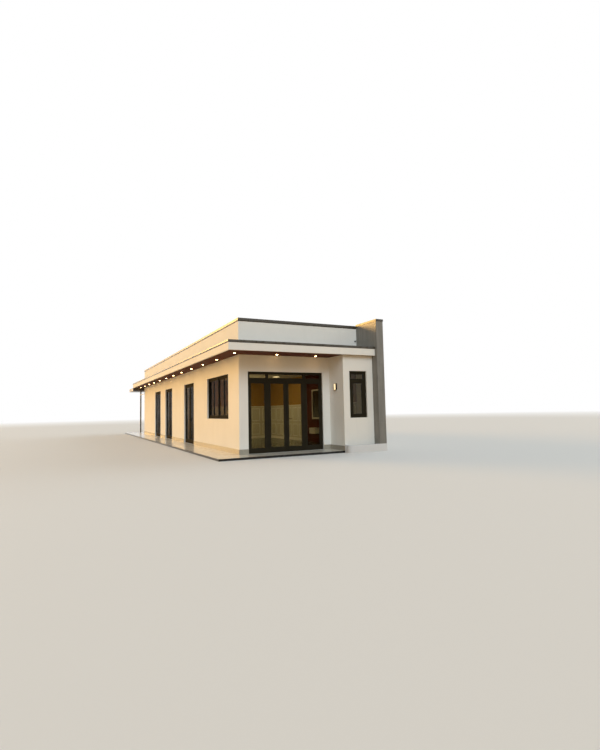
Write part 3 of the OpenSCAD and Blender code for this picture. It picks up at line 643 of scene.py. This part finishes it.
def stage_finish(name, stage, fade_start, fade_end):
    """A pale floor that turns to plain white far from the house, and throws back a colour of its own."""
    floor = Finish(name, roughness=0.9, specular_ior_level=0.1)
    floor.put("Base Color", floor.mix(seen_directly(floor.tree), stage.bounce, stage.floor))
    far = floor.add("VectorMath", {0: floor.place}, operation="LENGTH").outputs["Value"]
    white = floor.add("Emission", {"Color": (1, 1, 1, 1), "Strength": 1.0}).outputs[0]
    fade = floor.map(far, fade_start, fade_end, 0, 1)
    mixed = floor.add("MixShader", {0: fade, 1: floor.shader.outputs[0], 2: white}).outputs[0]
    floor.tree.links.new(mixed, floor.tree.nodes["Material Output"].inputs["Surface"])
    return floor.material


# Pieces of the house


def lay_tiles(bm, start, end, bottom, top, tiles):
    """Square tiles from one corner of a rectangle in plan, cut at its far edges."""
    (x0, y0), (x1, y1) = start, end
    pitch, joint = tiles.floor_size, tiles.joint
    least = pitch / 20
    for i in range(math.ceil((x1 - x0) / pitch)):
        for j in range(math.ceil((y1 - y0) / pitch)):
            near = (x0 + i * pitch + joint / 2, y0 + j * pitch + joint / 2)
            far = (min(x0 + (i + 1) * pitch, x1) - joint / 2, min(y0 + (j + 1) * pitch, y1) - joint / 2)
            if min(far[0] - near[0], far[1] - near[1]) > least:
                add_block(bm, (*near, bottom), (*far, top), tiles.edge)


def terrace_areas():
    """Corners in plan of the paving on the terrace's front, side and rear parts."""
    return [((TERRACE.x, TERRACE.y), (BAY_LEFT, FRONT)), ((TERRACE.x, FRONT), (LEFT, REAR)),
            ((TERRACE.x, REAR), (RIGHT, TERRACE_END.y))]


def lay_terrace(tiles):
    """Polished tiles on a cement bed."""
    bed_drop, bed_bump = 0.0025, 0.0003
    stone = polished_tile_finish("polished floor tile", tiles.floor, tiles.floor_cloud)
    bm = bmesh.new()
    bed = bmesh.new()
    for start, end in terrace_areas():
        lay_tiles(bm, start, end, TERRACE.z, TERRACE_END.z, tiles)
        add_block(bed, (*start, TERRACE.z), (*end, TERRACE_END.z - bed_drop))
    paving = finish_piece("terrace_tiles", bm, stone)
    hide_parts("terrace_paving")
    finish_piece("terrace_bed", bed, cement_finish("tile grout", tiles.grout, bed_bump))


def finish_room_floor(tiles):
    """Polished floor tile inside the house."""
    cloud = shade(tiles.room_floor, 0.85)
    dress(["floor_slab"], polished_tile_finish("room floor tile", tiles.room_floor, cloud))


def add_tile_run(bm, wall, length, depth, rise, pitch, joint, edge):
    """A row of upright tiles on a wall face. The last tile takes up a sliver that is left over."""
    sliver = 0.05
    count = max(1, math.ceil(length / pitch - sliver))
    for i in range(count):
        near = i * pitch + joint / 2
        far = (length if i == count - 1 else (i + 1) * pitch) - joint / 2
        add_wall_block(bm, wall, (near, far), (0, depth), rise, edge)


def lay_riser(tiles):
    """Upright slabs of black stone round the terrace, level with its tiles, and the base behind them."""
    slab_length, joint = 1.2, 0.001
    foot, head = low("terrace_riser"), high("terrace_riser")
    depth = TERRACE.x - foot.x
    bm = bmesh.new()
    runs = [(wall_face(foot.x, foot.y, ACROSS, BACK), BAY_LEFT - foot.x),
            (wall_face(foot.x, foot.y + depth, BACK, ACROSS), head.y - foot.y - 2 * depth),
            (wall_face(foot.x, head.y, ACROSS, -BACK), head.x - foot.x)]
    for wall, length in runs:
        add_tile_run(bm, wall, length, depth, (foot.z, head.z), slab_length, joint, joint)
    edge = finish_piece("terrace_edge", bm, polished_stone_finish("black stone", tiles.riser))
    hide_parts("terrace_riser")
    base = bmesh.new()
    for start, end in terrace_areas():
        add_block(base, (*start, foot.z), (*end, TERRACE.z))
    finish_piece("terrace_base", base, cement_finish("terrace concrete", tiles.grout))


def lay_skirting(tiles):
    """Skirting tiles round the foot of the walls, stopping at each door."""
    rise = (low("skirting").z, high("skirting").z)
    depth = LEFT - low("skirting").x
    doors = solids_of("side_door_frames")
    front_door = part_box("front_door_frame")
    rear_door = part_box("rear_door")
    side_ends = [FRONT - depth] + [y for foot, head in doors for y in (foot.y, head.y)] + [REAR + depth]
    runs = [(wall_face(LEFT, a, BACK, -ACROSS), b - a) for a, b in zip(side_ends[::2], side_ends[1::2])]
    runs += [(wall_face(LEFT, FRONT, ACROSS, -BACK), front_door[0].x - LEFT),
             (wall_face(front_door[1].x, FRONT, ACROSS, -BACK), BAY_LEFT - front_door[1].x),
             (wall_face(BAY_LEFT, BAY_FRONT, BACK, -ACROSS), FRONT - depth - BAY_FRONT),
             (wall_face(LEFT, REAR, ACROSS, BACK), rear_door[0].x - LEFT),
             (wall_face(rear_door[1].x, REAR, ACROSS, BACK), RIGHT - rear_door[1].x)]
    bm = bmesh.new()
    for wall, length in runs:
        add_tile_run(bm, wall, length, depth, rise, tiles.skirting_length, tiles.joint / 2, tiles.edge)
    satin_tile = skirting_finish("skirting tile", tiles.skirting)
    row = finish_piece("skirting_tiles", bm, satin_tile)
    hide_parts("skirting")


def paint_walls(paint):
    """Paint on the outer walls, parapets, fascia and kerb, and dark paint on the copings and the porch."""
    walls = ["front_wall_piers", "front_wall_head", "bay_side_wall", "bay_front_wall", "left_wall_front",
             "left_wall_piers", "left_wall_heads", "right_wall", "rear_wall_piers", "rear_wall_head",
             "canopy_long_fascia", "canopy_cross_fascias", "long_parapets", "cross_parapets"]
    copings = ["canopy_coping", "long_parapet_copings", "cross_parapet_copings", "fin_coping",
               "overflow_spout"]
    dress(walls, render_finish("wall paint", paint.render))
    dress(["planter_kerb"], render_finish("kerb paint", paint.kerb))
    dress(copings, coping_finish("coping paint", paint.coping, paint.dust))
    dress(["porch_roof", "porch_posts"], coping_finish("porch paint", paint.porch, paint.dust))


def board_lanes(start, end, board, gap):
    """Edges of the boards that fill a strip, the last one cut to fit."""
    count = math.ceil((end - start) / (board + gap))
    lanes = [(start + i * (board + gap), start + i * (board + gap) + board) for i in range(count)]
    return [(a, min(b, end)) for a, b in lanes if min(b, end) - a > gap * 2]


def fit_soffit(timber):
    """Boards under the canopy, mitred at its corners."""
    edge = 0.0015
    foot, head = low("soffit_lining"), high("soffit_lining")
    side, fore, aft = LEFT - foot.x, FRONT - foot.y, head.y - REAR
    long_boards, cross_boards = bmesh.new(), bmesh.new()
    for a, b in board_lanes(foot.x, LEFT, timber.board, timber.gap):
        ends = [(FRONT - (LEFT - x) * fore / side, REAR + (LEFT - x) * aft / side) for x in (a, b)]
        outline = [(a, ends[0][0]), (b, ends[1][0]), (b, ends[1][1]), (a, ends[0][1])]
        add_prism(long_boards, outline, foot.z, head.z, edge)
    for a, b in board_lanes(foot.y, FRONT, timber.board, timber.gap):
        start = [LEFT - (FRONT - y) * side / fore + timber.gap for y in (a, b)]
        end = FIN_LEFT if a < BAY_FRONT else BAY_LEFT
        if a < BAY_FRONT < b:
            b = BAY_FRONT
        outline = [(start[0], a), (end, a), (end, b), (start[1], b)]
        add_prism(cross_boards, outline, foot.z, head.z, edge)
    for a, b in board_lanes(REAR, head.y, timber.board, timber.gap):
        start = [LEFT - (y - REAR) * side / aft + timber.gap for y in (a, b)]
        outline = [(start[0], a), (RIGHT, a), (RIGHT, b), (start[1], b)]
        add_prism(cross_boards, outline, foot.z, head.z, edge)
    long_finish = timber_finish("soffit boards long", timber.dark, timber.light, 1)
    cross_finish = timber_finish("soffit boards cross", timber.dark, timber.light, 0)
    boards = finish_piece("soffit_boards_side", long_boards, long_finish)
    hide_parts("soffit_lining")
    finish_piece("soffit_boards_ends", cross_boards, cross_finish)


def line_shadow_gap(timber):
    """Near-black painted shade on the slab in the gap between the fascia and the boards."""
    skin = 2 * MM
    foot, head = low("soffit_lining"), high("soffit_lining")
    left = high("canopy_long_fascia").x
    fascias = solids_of("canopy_cross_fascias")
    front = fascias[0][1].y
    back = fascias[1][0].y
    channel = bmesh.new()
    add_block(channel, (left, front, head.z - skin), (foot.x, back, head.z))
    add_block(channel, (foot.x, front, head.z - skin), (FIN_LEFT, foot.y, head.z))
    add_block(channel, (foot.x, head.y, head.z - skin), (RIGHT, back, head.z))
    # The channel skin's near-black colour is painted shade in the gap
    finish_piece("soffit_channel", channel, rubber_finish("gap painted shade", timber.channel))


def fit_soffit_lights(lights):
    """Round recessed lights: a turned white rim and a domed opal lens."""
    rims, lenses = bmesh.new(), bmesh.new()
    bends = [math.radians(degrees) for degrees in range(0, 90, 15)]
    for foot, head in solids_of("soffit_lights"):
        centre = Vector(((foot.x + head.x) / 2, (foot.y + head.y) / 2, head.z))
        radius = (head.x - foot.x) / 2
        hole = radius * 0.86
        drop = head.z - foot.z
        add_turned(rims, centre, [(radius, 0), (radius, -drop * 0.25), (radius * 0.97, -drop * 0.4),
                                  (radius * 0.88, -drop * 0.4), (hole, 0)])
        dome = [(hole * math.cos(bend), -drop * (0.3 + 0.7 * math.sin(bend))) for bend in bends]
        add_turned(lenses, centre, [(hole, -drop * 0.05), *dome])
    rim = finish_piece("light_rims", rims, satin_finish("light rim", lights.fitting))
    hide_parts("soffit_lights")
    lens = lit_finish("light lens", lights.opal, lights.lens, lights.lens_level)
    finish_piece("light_lenses", lenses, lens)


def clad_fin(tiles):
    """Cement-look tiles on the fin wall's faces, and the mortar core behind them."""
    depth = 0.01
    foot, head = low("fin_wall"), high("fin_wall")
    step_y, step_z = low("right_wall").y, high("right_wall").z
    faces = [(wall_face(foot.x, foot.y, ACROSS, BACK), head.x - foot.x, foot.z),
             (wall_face(foot.x, foot.y + depth, BACK, ACROSS), BAY_FRONT - foot.y - depth, foot.z),
             (wall_face(head.x, foot.y + depth, BACK, -ACROSS), step_y - foot.y - depth, foot.z),
             (wall_face(head.x, step_y, BACK, -ACROSS), FRONT - step_y, step_z),
             (wall_face(foot.x, BAY_FRONT, BACK, ACROSS), FRONT - BAY_FRONT, ROOF)]
    bm = bmesh.new()
    for wall, length, bottom in faces:
        add_tile_rows(bm, wall, length, depth, bottom, low("fin_coping").z, tiles)
    cladding = finish_piece("fin_tiles", bm, fin_tile_finish("fin tile", tiles.fin))
    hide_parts("fin_wall")
    core = bmesh.new()
    inset = depth / 2
    add_block(core, (foot.x + inset, foot.y + inset, foot.z), (head.x - inset, step_y, head.z - inset))
    add_block(core, (foot.x + inset, step_y, step_z), (head.x - inset, FRONT, head.z - inset))
    finish_piece("fin_core", core, cement_finish("fin mortar", shade(tiles.fin, 1.25)))


def add_tile_rows(bm, wall, length, depth, bottom, top, tiles):
    """Rows of grooved tiles on a wall face, counted from its top."""
    least = tiles.joint * 4
    for row in range(math.ceil((top - bottom) / tiles.fin_height)):
        head = top - row * tiles.fin_height
        foot = max(top - (row + 1) * tiles.fin_height, bottom)
        if head - foot >= least:
            rise = (foot + tiles.joint / 2, head - tiles.joint / 2)
            add_grooved_tile(bm, wall, length, depth, rise, tiles)


def add_grooved_tile(bm, wall, length, depth, rise, tiles):
    """One tile as wide as the face: upright strips with grooves between them, and the tile's back."""
    groove, groove_depth = 0.006, 0.002
    strips = max(1, round(length / tiles.fin_groove))
    for i in range(strips):
        near = length * i / strips + (groove / 2 if i else 0)
        far = length * (i + 1) / strips - (groove / 2 if i < strips - 1 else 0)
        add_wall_block(bm, wall, (near, far), (0, depth), rise, tiles.edge)
    add_wall_block(bm, wall, (0, length), (groove_depth, depth), rise)


def fit_gaskets(glazing):
    """Rubber gaskets on both faces of every pane, riding with its leaf or on the house."""
    rubber = rubber_finish("gasket rubber", glazing.rubber)
    bite, width = glazing.bite, glazing.gasket
    profile = [(bite - MM, 0), (bite + width, 0), (bite + width * 0.8, width * 0.4),
               (bite - MM, width * 0.7)]
    for node in sorted(node for node in frame["nodes"] if "glass" in node):
        gaskets = bmesh.new()
        for foot, head in solids_of(node):
            span = head - foot
            across, out = (ACROSS, BACK) if span.y < span.x else (BACK, ACROSS)
            for side in (-out, out):
                centre = (foot + head) / 2 + side * (span.dot(out) / 2)
                add_ring(gaskets, centre, across, side, span.dot(across), span.z, profile)
        finish_piece(node.replace("glass", "gaskets"), gaskets, rubber, body_of(node))


def dress_frames(glazing):
    """Powder coat on the frames and leaves, and tint in the panes."""
    metal = ("frame", "leaf", "side_lights", "rear_door")
    panes = [node for node in frame["nodes"] if "glass" in node]
    frames = [node for node in frame["nodes"] if node not in panes and any(word in node for word in metal)]
    bay = [node for node in panes if "bay" in node]
    front = [node for node in panes if "front" in node]
    others = [node for node in panes if node not in bay + front]
    dress(frames, powder_coat_finish("frame powder coat", glazing.metal))
    dress(bay, glass_finish("bay glass", glazing.glass, glazing.bay_index))
    dress(front, glass_finish("front glass", glazing.glass, glazing.front_index))
    dress(others, glass_finish("side glass", glazing.side_glass, glazing.side_index))


def fit_wall_lamp(lights, glazing):
    """Dark lamp body and lit diffuser."""
    dress(["wall_lamp"], powder_coat_finish("lamp coat", glazing.metal))
    dress(["lamp_diffuser"], lit_finish("lamp lens", lights.lamp_opal, lights.lamp, lights.lamp_level))


def add_panelling(bm, trim, wall, length, top):
    """Wall panelling: a board with a cap, a foot rail, and two rows of raised fields in mouldings."""
    board, rail, moulding, bay_width = 0.012, 0.07, 0.018, 0.62
    cap_out, cap_height, cap_edge = 0.02, 0.025, 0.003
    foot_out, foot_height, foot_edge = 0.012, 0.12, 0.004
    margin, field_out, field_edge = 0.05, 0.006, 0.003
    lower_row = (FLOOR + 0.2, FLOOR + 0.78)
    upper_row = (FLOOR + 0.92, top - 0.1)
    add_wall_block(bm, wall, (0, length), (0, board), (FLOOR, top))
    add_wall_block(trim, wall, (0, length), (0, board + cap_out), (top, top + cap_height), cap_edge)
    add_wall_block(trim, wall, (0, length), (0, board + foot_out), (FLOOR, FLOOR + foot_height), foot_edge)
    profile = [(0, 0), (moulding * 1.6, 0), (moulding * 1.4, moulding * 0.4),
               (moulding * 0.6, moulding * 0.7), (0, moulding * 0.5)]
    bays = max(1, round(length / bay_width))
    bay = length / bays
    width = bay - rail * 2
    start, along, out = wall
    for i in range(bays):
        for foot, head in (lower_row, upper_row):
            centre = start + along * (bay * (i + 0.5)) + out * board + UP * ((foot + head) / 2)
            add_ring(trim, centre, along, out, width, head - foot, profile)
            span = (margin - width / 2, width / 2 - margin)
            rise = (foot + margin, head - margin)
            add_wall_block(bm, (centre, along, out), span, (0, field_out), rise, field_edge)


def line_front_room(paint, timber):
    """Panelled and painted inner walls, and the boarded wall, seen through the glass."""
    dado, plaster = 1.66, 0.006
    boards_from, boards_to = FRONT + 3.0, FRONT + 4.55
    inner_left = low("inner_wall").x
    runs = [(wall_face(INNER_RIGHT, INNER_FRONT, BACK, -ACROSS), boards_from - INNER_FRONT),
            (wall_face(INNER_RIGHT, boards_to, BACK, -ACROSS), INNER_WALL - boards_to),
            (wall_face(inner_left, INNER_WALL, ACROSS, -BACK), INNER_RIGHT - inner_left)]
    bm, trim, skins = bmesh.new(), bmesh.new(), bmesh.new()
    for wall, length in runs:
        add_panelling(bm, trim, wall, length, FLOOR + dado)
        add_wall_block(skins, wall, (0, length), (0, plaster), (FLOOR + dado, ROOM_TOP))
    # Fields painted darker as painted shade, mouldings lighter as a painted highlight
    finish_piece("room_panelling", bm, satin_finish("panelling paint darkened as painted shade", paint.panelling))
    finish_piece("room_mouldings", trim, satin_finish("moulding paint lightened as painted highlight", paint.moulding))
    room_paint = render_finish("room paint", paint.room)
    finish_piece("room_plaster", skins, room_paint)
    dress(["inner_wall"], room_paint)
    face = board_wall(timber, boards_from, boards_to)
    fit_joinery(paint, face)


def board_wall(timber, start, end):
    """Upright boards on the front room's right wall. Gives the place of their face."""
    width, gap, thickness, edge = 0.12, 0.004, 0.02, 0.002
    face = INNER_RIGHT - thickness
    lanes = bmesh.new()
    for a, b in board_lanes(start, end, width, gap):
        add_block(lanes, (face, a, FLOOR), (INNER_RIGHT, b, ROOM_TOP), edge)
    stained = timber_finish("room boards", timber.dark, timber.light, 2, 0.3)
    finish_piece("room_boards", lanes, stained)
    return face


def fit_joinery(paint, face):
    """A pale framed recess and a pale shelf on the boarded wall, seen through the front glass."""
    near, far, foot, head = FRONT + 2.95, FRONT + 3.75, FLOOR + 1.02, FLOOR + 2.32
    frame_width, frame_out, back_out, back_edge = 0.07, 0.03, 0.006, 0.001
    shelf_near, shelf_far, shelf_foot, shelf_head = FRONT + 3.1, FRONT + 3.62, FLOOR + 0.39, FLOOR + 0.64
    shelf_out, shelf_edge = 0.25, 0.004
    bm = bmesh.new()
    centre = Vector((face, (near + far) / 2, (foot + head) / 2))
    profile = [(0, 0), (frame_width, 0), (frame_width, frame_out), (frame_width * 0.15, frame_out),
               (0, frame_out * 0.8)]
    add_ring(bm, centre, BACK, -ACROSS, far - near, head - foot, profile)
    add_block(bm, (face - shelf_out, shelf_near, shelf_foot), (face, shelf_far, shelf_head), shelf_edge)
    finish_piece("room_joinery", bm, satin_finish("joinery paint", paint.moulding, 0.3))
    back = bmesh.new()
    add_block(back, (face - back_out, near + frame_width, foot + frame_width),
              (face, far - frame_width, head - frame_width), back_edge)
    finish_piece("room_recess_back", back, satin_finish("recess paint", paint.recess, 0.2))


def hang_ceiling(paint):
    """Plaster ceilings hung below the roof slab."""
    board = 0.0125
    top = ROOM_TOP + board
    room_end = low("rear_wall_head").y
    bay_left, bay_front = high("bay_side_wall").x, high("bay_front_wall").y
    ceiling = bmesh.new()
    add_block(ceiling, (INNER_LEFT, INNER_FRONT, ROOM_TOP), (INNER_RIGHT, room_end, top))
    add_block(ceiling, (bay_left, bay_front, ROOM_TOP), (FIN_LEFT, INNER_FRONT, top))
    finish_piece("ceiling_boards", ceiling, render_finish("ceiling paint", paint.ceiling))


def fit_room_light(lights):
    """A flat round light on the front room's ceiling."""
    radius, drop = 0.17, 0.035
    hole = radius * 0.92
    place = Vector((LEFT + 3.55, FRONT + 4.95, ROOM_TOP))
    rim, lens = bmesh.new(), bmesh.new()
    add_turned(rim, place, [(radius, 0), (radius, -drop * 0.8), (radius * 0.97, -drop), (hole, -drop),
                            (hole, 0)])
    add_turned(lens, place, [(hole, -drop * 0.2), (hole, -drop * 0.9), (radius * 0.6, -drop),
                             (radius * 0.1, -drop)])
    finish_piece("room_light_rim", rim, satin_finish("room light rim", lights.fitting))
    opal = lit_finish("room light lens", lights.opal, lights.room, lights.room_level)
    finish_piece("room_light_lens", lens, opal)
    light_room(lights, place - UP * (drop + MM), 2 * radius)


def light_room(lights, below, width):
    """Light from the ceiling light, and a soft glow for what the room's walls would throw back."""
    fitting_share, glow_radius = 0.1, 0.4
    middle = Vector((LEFT + 1.4, INNER_WALL - 2.2, ROOM_TOP - 1.3))
    add_room_light("room_light", lights, below, fitting_share, "AREA", shape="DISK", size=width)
    add_room_light("room_glow", lights, middle, 1 - fitting_share, "POINT", shadow_soft_size=glow_radius)


def add_light(name, kind, strength, tint, **settings):
    """A light with its strength, its colour and what else it is set to."""
    data = bpy.data.lights.new(name, kind)
    data.energy = strength
    data.color = tint
    for setting, value in settings.items():
        setattr(data, setting, value)
    return add_object(name, data)


def add_room_light(name, lights, place, share, kind, **settings):
    """A light in the front room that gives a share of the room's light and isn't seen itself."""
    light = add_light(name, kind, lights.room_power * share, lights.room, **settings)
    light.location = place
    light.visible_camera = False
    light.visible_glossy = False
    light.visible_transmission = False


def cover_roof(paint):
    """Cement screed on the roof slab, and wall paint on its edge."""
    dress(["roof_slab"], cement_finish("roof screed", paint.screed, sides=paint.render))


# Camera, lights and stage

# Radius of the stage floor
STAGE_RADIUS = 400.0


def camera_matrix(stage):
    """Turns the camera's yaw, pitch and roll into its place and axes."""
    ahead = Vector((math.sin(stage.yaw) * math.cos(stage.pitch), math.cos(stage.yaw) * math.cos(stage.pitch),
                    math.sin(stage.pitch)))
    right = ahead.cross(UP).normalized()
    above = right.cross(ahead)
    side = right * math.cos(stage.roll) + above * math.sin(stage.roll)
    above = above * math.cos(stage.roll) - right * math.sin(stage.roll)
    axes = Matrix((side, above, -ahead)).transposed().to_4x4()
    return Matrix.Translation(stage.place) @ axes


def set_camera(stage):
    """The camera at the picture's viewing angle."""
    data = bpy.data.cameras.new("camera")
    data.sensor_width = stage.sensor
    data.lens = stage.lens
    data.clip_end = STAGE_RADIUS * 1.25
    camera = add_object("camera", data)
    camera.matrix_world = camera_matrix(stage)
    bpy.context.scene.camera = camera


def set_world(lights):
    """Even light from all round, and a white background to look at and mirror."""
    world = bpy.data.worlds.new("studio")
    world.use_nodes = True
    bpy.context.scene.world = world
    tree = world.node_tree
    light = tree.nodes["Background"]
    light.inputs["Color"].default_value = (*lights.sky, 1)
    light.inputs["Strength"].default_value = lights.sky_level
    white = tree.nodes.new("ShaderNodeBackground")
    white.inputs["Color"].default_value = (1, 1, 1, 1)
    mixed = tree.nodes.new("ShaderNodeMixShader")
    tree.links.new(seen_directly(tree), mixed.inputs[0])
    tree.links.new(light.outputs[0], mixed.inputs[1])
    tree.links.new(white.outputs[0], mixed.inputs[2])
    tree.links.new(mixed.outputs[0], tree.nodes["World Output"].inputs["Surface"])


def add_soft_light(name, source, strength, tint, spread):
    """A soft light that shines on the house from one direction."""
    light = add_light(name, "SUN", strength, tint, angle=spread)
    light.rotation_euler = Vector(source).to_track_quat("Z", "Y").to_euler()


def set_lights(lights):
    """A low warm light from behind on the left, and cool ones from the front and the right."""
    add_soft_light("key_light", lights.key_from, lights.key_level, lights.key, lights.key_spread)
    add_soft_light("front_light", lights.front_from, lights.front_level, lights.front, lights.front_spread)
    add_soft_light("side_light", lights.side_from, lights.side_level, lights.front, lights.side_spread)


def lay_stage_floor(stage):
    """A wide round floor under the house."""
    sides, fade_start, fade_end = 96, 45.0, 110.0
    bm = bmesh.new()
    bmesh.ops.create_circle(bm, cap_ends=True, segments=sides, radius=STAGE_RADIUS)
    mesh = bpy.data.meshes.new("stage_floor")
    bm.to_mesh(mesh)
    bm.free()
    mesh.materials.append(stage_finish("stage floor", stage, fade_start, fade_end))
    floor = add_object("stage_floor", mesh)


# Operators and panel


class BungalowOperator:
    """What the bungalow's operators share."""

    bl_options = {"REGISTER", "UNDO"}


class BUNGALOW_OT_paint_walls(BungalowOperator, Operator):
    """Paint the walls, parapets, fascia, kerb, copings and porch"""

    bl_idname = "bungalow.paint_walls"
    bl_label = "Paint Walls"

    def execute(self, context):
        paint_walls(context.scene.bungalow.paint)
        return {"FINISHED"}


class BUNGALOW_OT_lay_terrace(BungalowOperator, Operator):
    """Lay the terrace tiles, their bed and stone edge, and tile the floor inside"""

    bl_idname = "bungalow.lay_terrace"
    bl_label = "Lay Terrace"

    def execute(self, context):
        settings = context.scene.bungalow
        lay_terrace(settings.tiles)
        finish_room_floor(settings.tiles)
        lay_riser(settings.tiles)
        return {"FINISHED"}


class BUNGALOW_OT_lay_skirting(BungalowOperator, Operator):
    """Lay the skirting tiles"""

    bl_idname = "bungalow.lay_skirting"
    bl_label = "Lay Skirting"

    def execute(self, context):
        lay_skirting(context.scene.bungalow.tiles)
        return {"FINISHED"}


class BUNGALOW_OT_fit_soffit(BungalowOperator, Operator):
    """Fit the soffit boards and the painted shade in the gap beside them"""

    bl_idname = "bungalow.fit_soffit"
    bl_label = "Fit Soffit"

    def execute(self, context):
        settings = context.scene.bungalow
        fit_soffit(settings.timber)
        line_shadow_gap(settings.timber)
        return {"FINISHED"}


class BUNGALOW_OT_fit_lights(BungalowOperator, Operator):
    """Fit the soffit lights, the wall lamp and the front room's light"""

    bl_idname = "bungalow.fit_lights"
    bl_label = "Fit Lights"

    def execute(self, context):
        settings = context.scene.bungalow
        fit_soffit_lights(settings.lights)
        fit_wall_lamp(settings.lights, settings.glazing)
        fit_room_light(settings.lights)
        return {"FINISHED"}


class BUNGALOW_OT_clad_fin(BungalowOperator, Operator):
    """Clad the fin wall with grooved tiles"""

    bl_idname = "bungalow.clad_fin"
    bl_label = "Clad Fin Wall"

    def execute(self, context):
        clad_fin(context.scene.bungalow.tiles)
        return {"FINISHED"}


class BUNGALOW_OT_glaze(BungalowOperator, Operator):
    """Coat the frames, tint the panes and fit their gaskets"""

    bl_idname = "bungalow.glaze"
    bl_label = "Glaze Doors and Windows"

    def execute(self, context):
        settings = context.scene.bungalow
        dress_frames(settings.glazing)
        fit_gaskets(settings.glazing)
        return {"FINISHED"}


class BUNGALOW_OT_line_room(BungalowOperator, Operator):
    """Line the front room's walls and the ceilings"""

    bl_idname = "bungalow.line_room"
    bl_label = "Line Front Room"

    def execute(self, context):
        settings = context.scene.bungalow
        line_front_room(settings.paint, settings.timber)
        hang_ceiling(settings.paint)
        return {"FINISHED"}


class BUNGALOW_OT_cover_roof(BungalowOperator, Operator):
    """Cover the roof slab with screed"""

    bl_idname = "bungalow.cover_roof"
    bl_label = "Cover Roof"

    def execute(self, context):
        cover_roof(context.scene.bungalow.paint)
        return {"FINISHED"}


class BUNGALOW_OT_set_stage(BungalowOperator, Operator):
    """Set the camera, the light and the stage floor"""

    bl_idname = "bungalow.set_stage"
    bl_label = "Set Stage"

    def execute(self, context):
        settings = context.scene.bungalow
        set_camera(settings.stage)
        set_world(settings.lights)
        set_lights(settings.lights)
        lay_stage_floor(settings.stage)
        context.scene.view_settings.view_transform = "Standard"
        return {"FINISHED"}


OPERATORS = (
    BUNGALOW_OT_set_stage,
    BUNGALOW_OT_paint_walls,
    BUNGALOW_OT_lay_terrace,
    BUNGALOW_OT_lay_skirting,
    BUNGALOW_OT_fit_soffit,
    BUNGALOW_OT_fit_lights,
    BUNGALOW_OT_clad_fin,
    BUNGALOW_OT_glaze,
    BUNGALOW_OT_line_room,
    BUNGALOW_OT_cover_roof,
)


class BUNGALOW_PT_finishes(Panel):
    """Sidebar list of the bungalow's finishing steps and settings"""

    bl_label = "Bungalow"
    bl_idname = "BUNGALOW_PT_finishes"
    bl_space_type = "VIEW_3D"
    bl_region_type = "UI"
    bl_category = "Bungalow"

    def draw(self, context):
        for operator in OPERATORS:
            self.layout.operator(operator.bl_idname)
        settings = context.scene.bungalow
        for part in BungalowSettings.__annotations__:
            group = getattr(settings, part)
            box = self.layout.box()
            box.label(text=settings.bl_rna.properties[part].name)
            for name in type(group).__annotations__:
                box.prop(group, name)


CLASSES = (PaintSettings, TileSettings, TimberSettings, GlazingSettings, LightSettings, StageSettings,
           BungalowSettings, *OPERATORS, BUNGALOW_PT_finishes)


def register():
    """Add the classes and the scene's settings"""
    for cls in CLASSES:
        bpy.utils.register_class(cls)
    bpy.types.Scene.bungalow = PointerProperty(type=BungalowSettings)


def unregister():
    """Take the settings and the classes away"""
    del bpy.types.Scene.bungalow
    for cls in reversed(CLASSES):
        bpy.utils.unregister_class(cls)


def main():
    """Dress the house."""
    register()
    for operator in OPERATORS:
        group, name = operator.bl_idname.split(".")
        getattr(getattr(bpy.ops, group), name)()


if __name__ == "__main__":
    main()
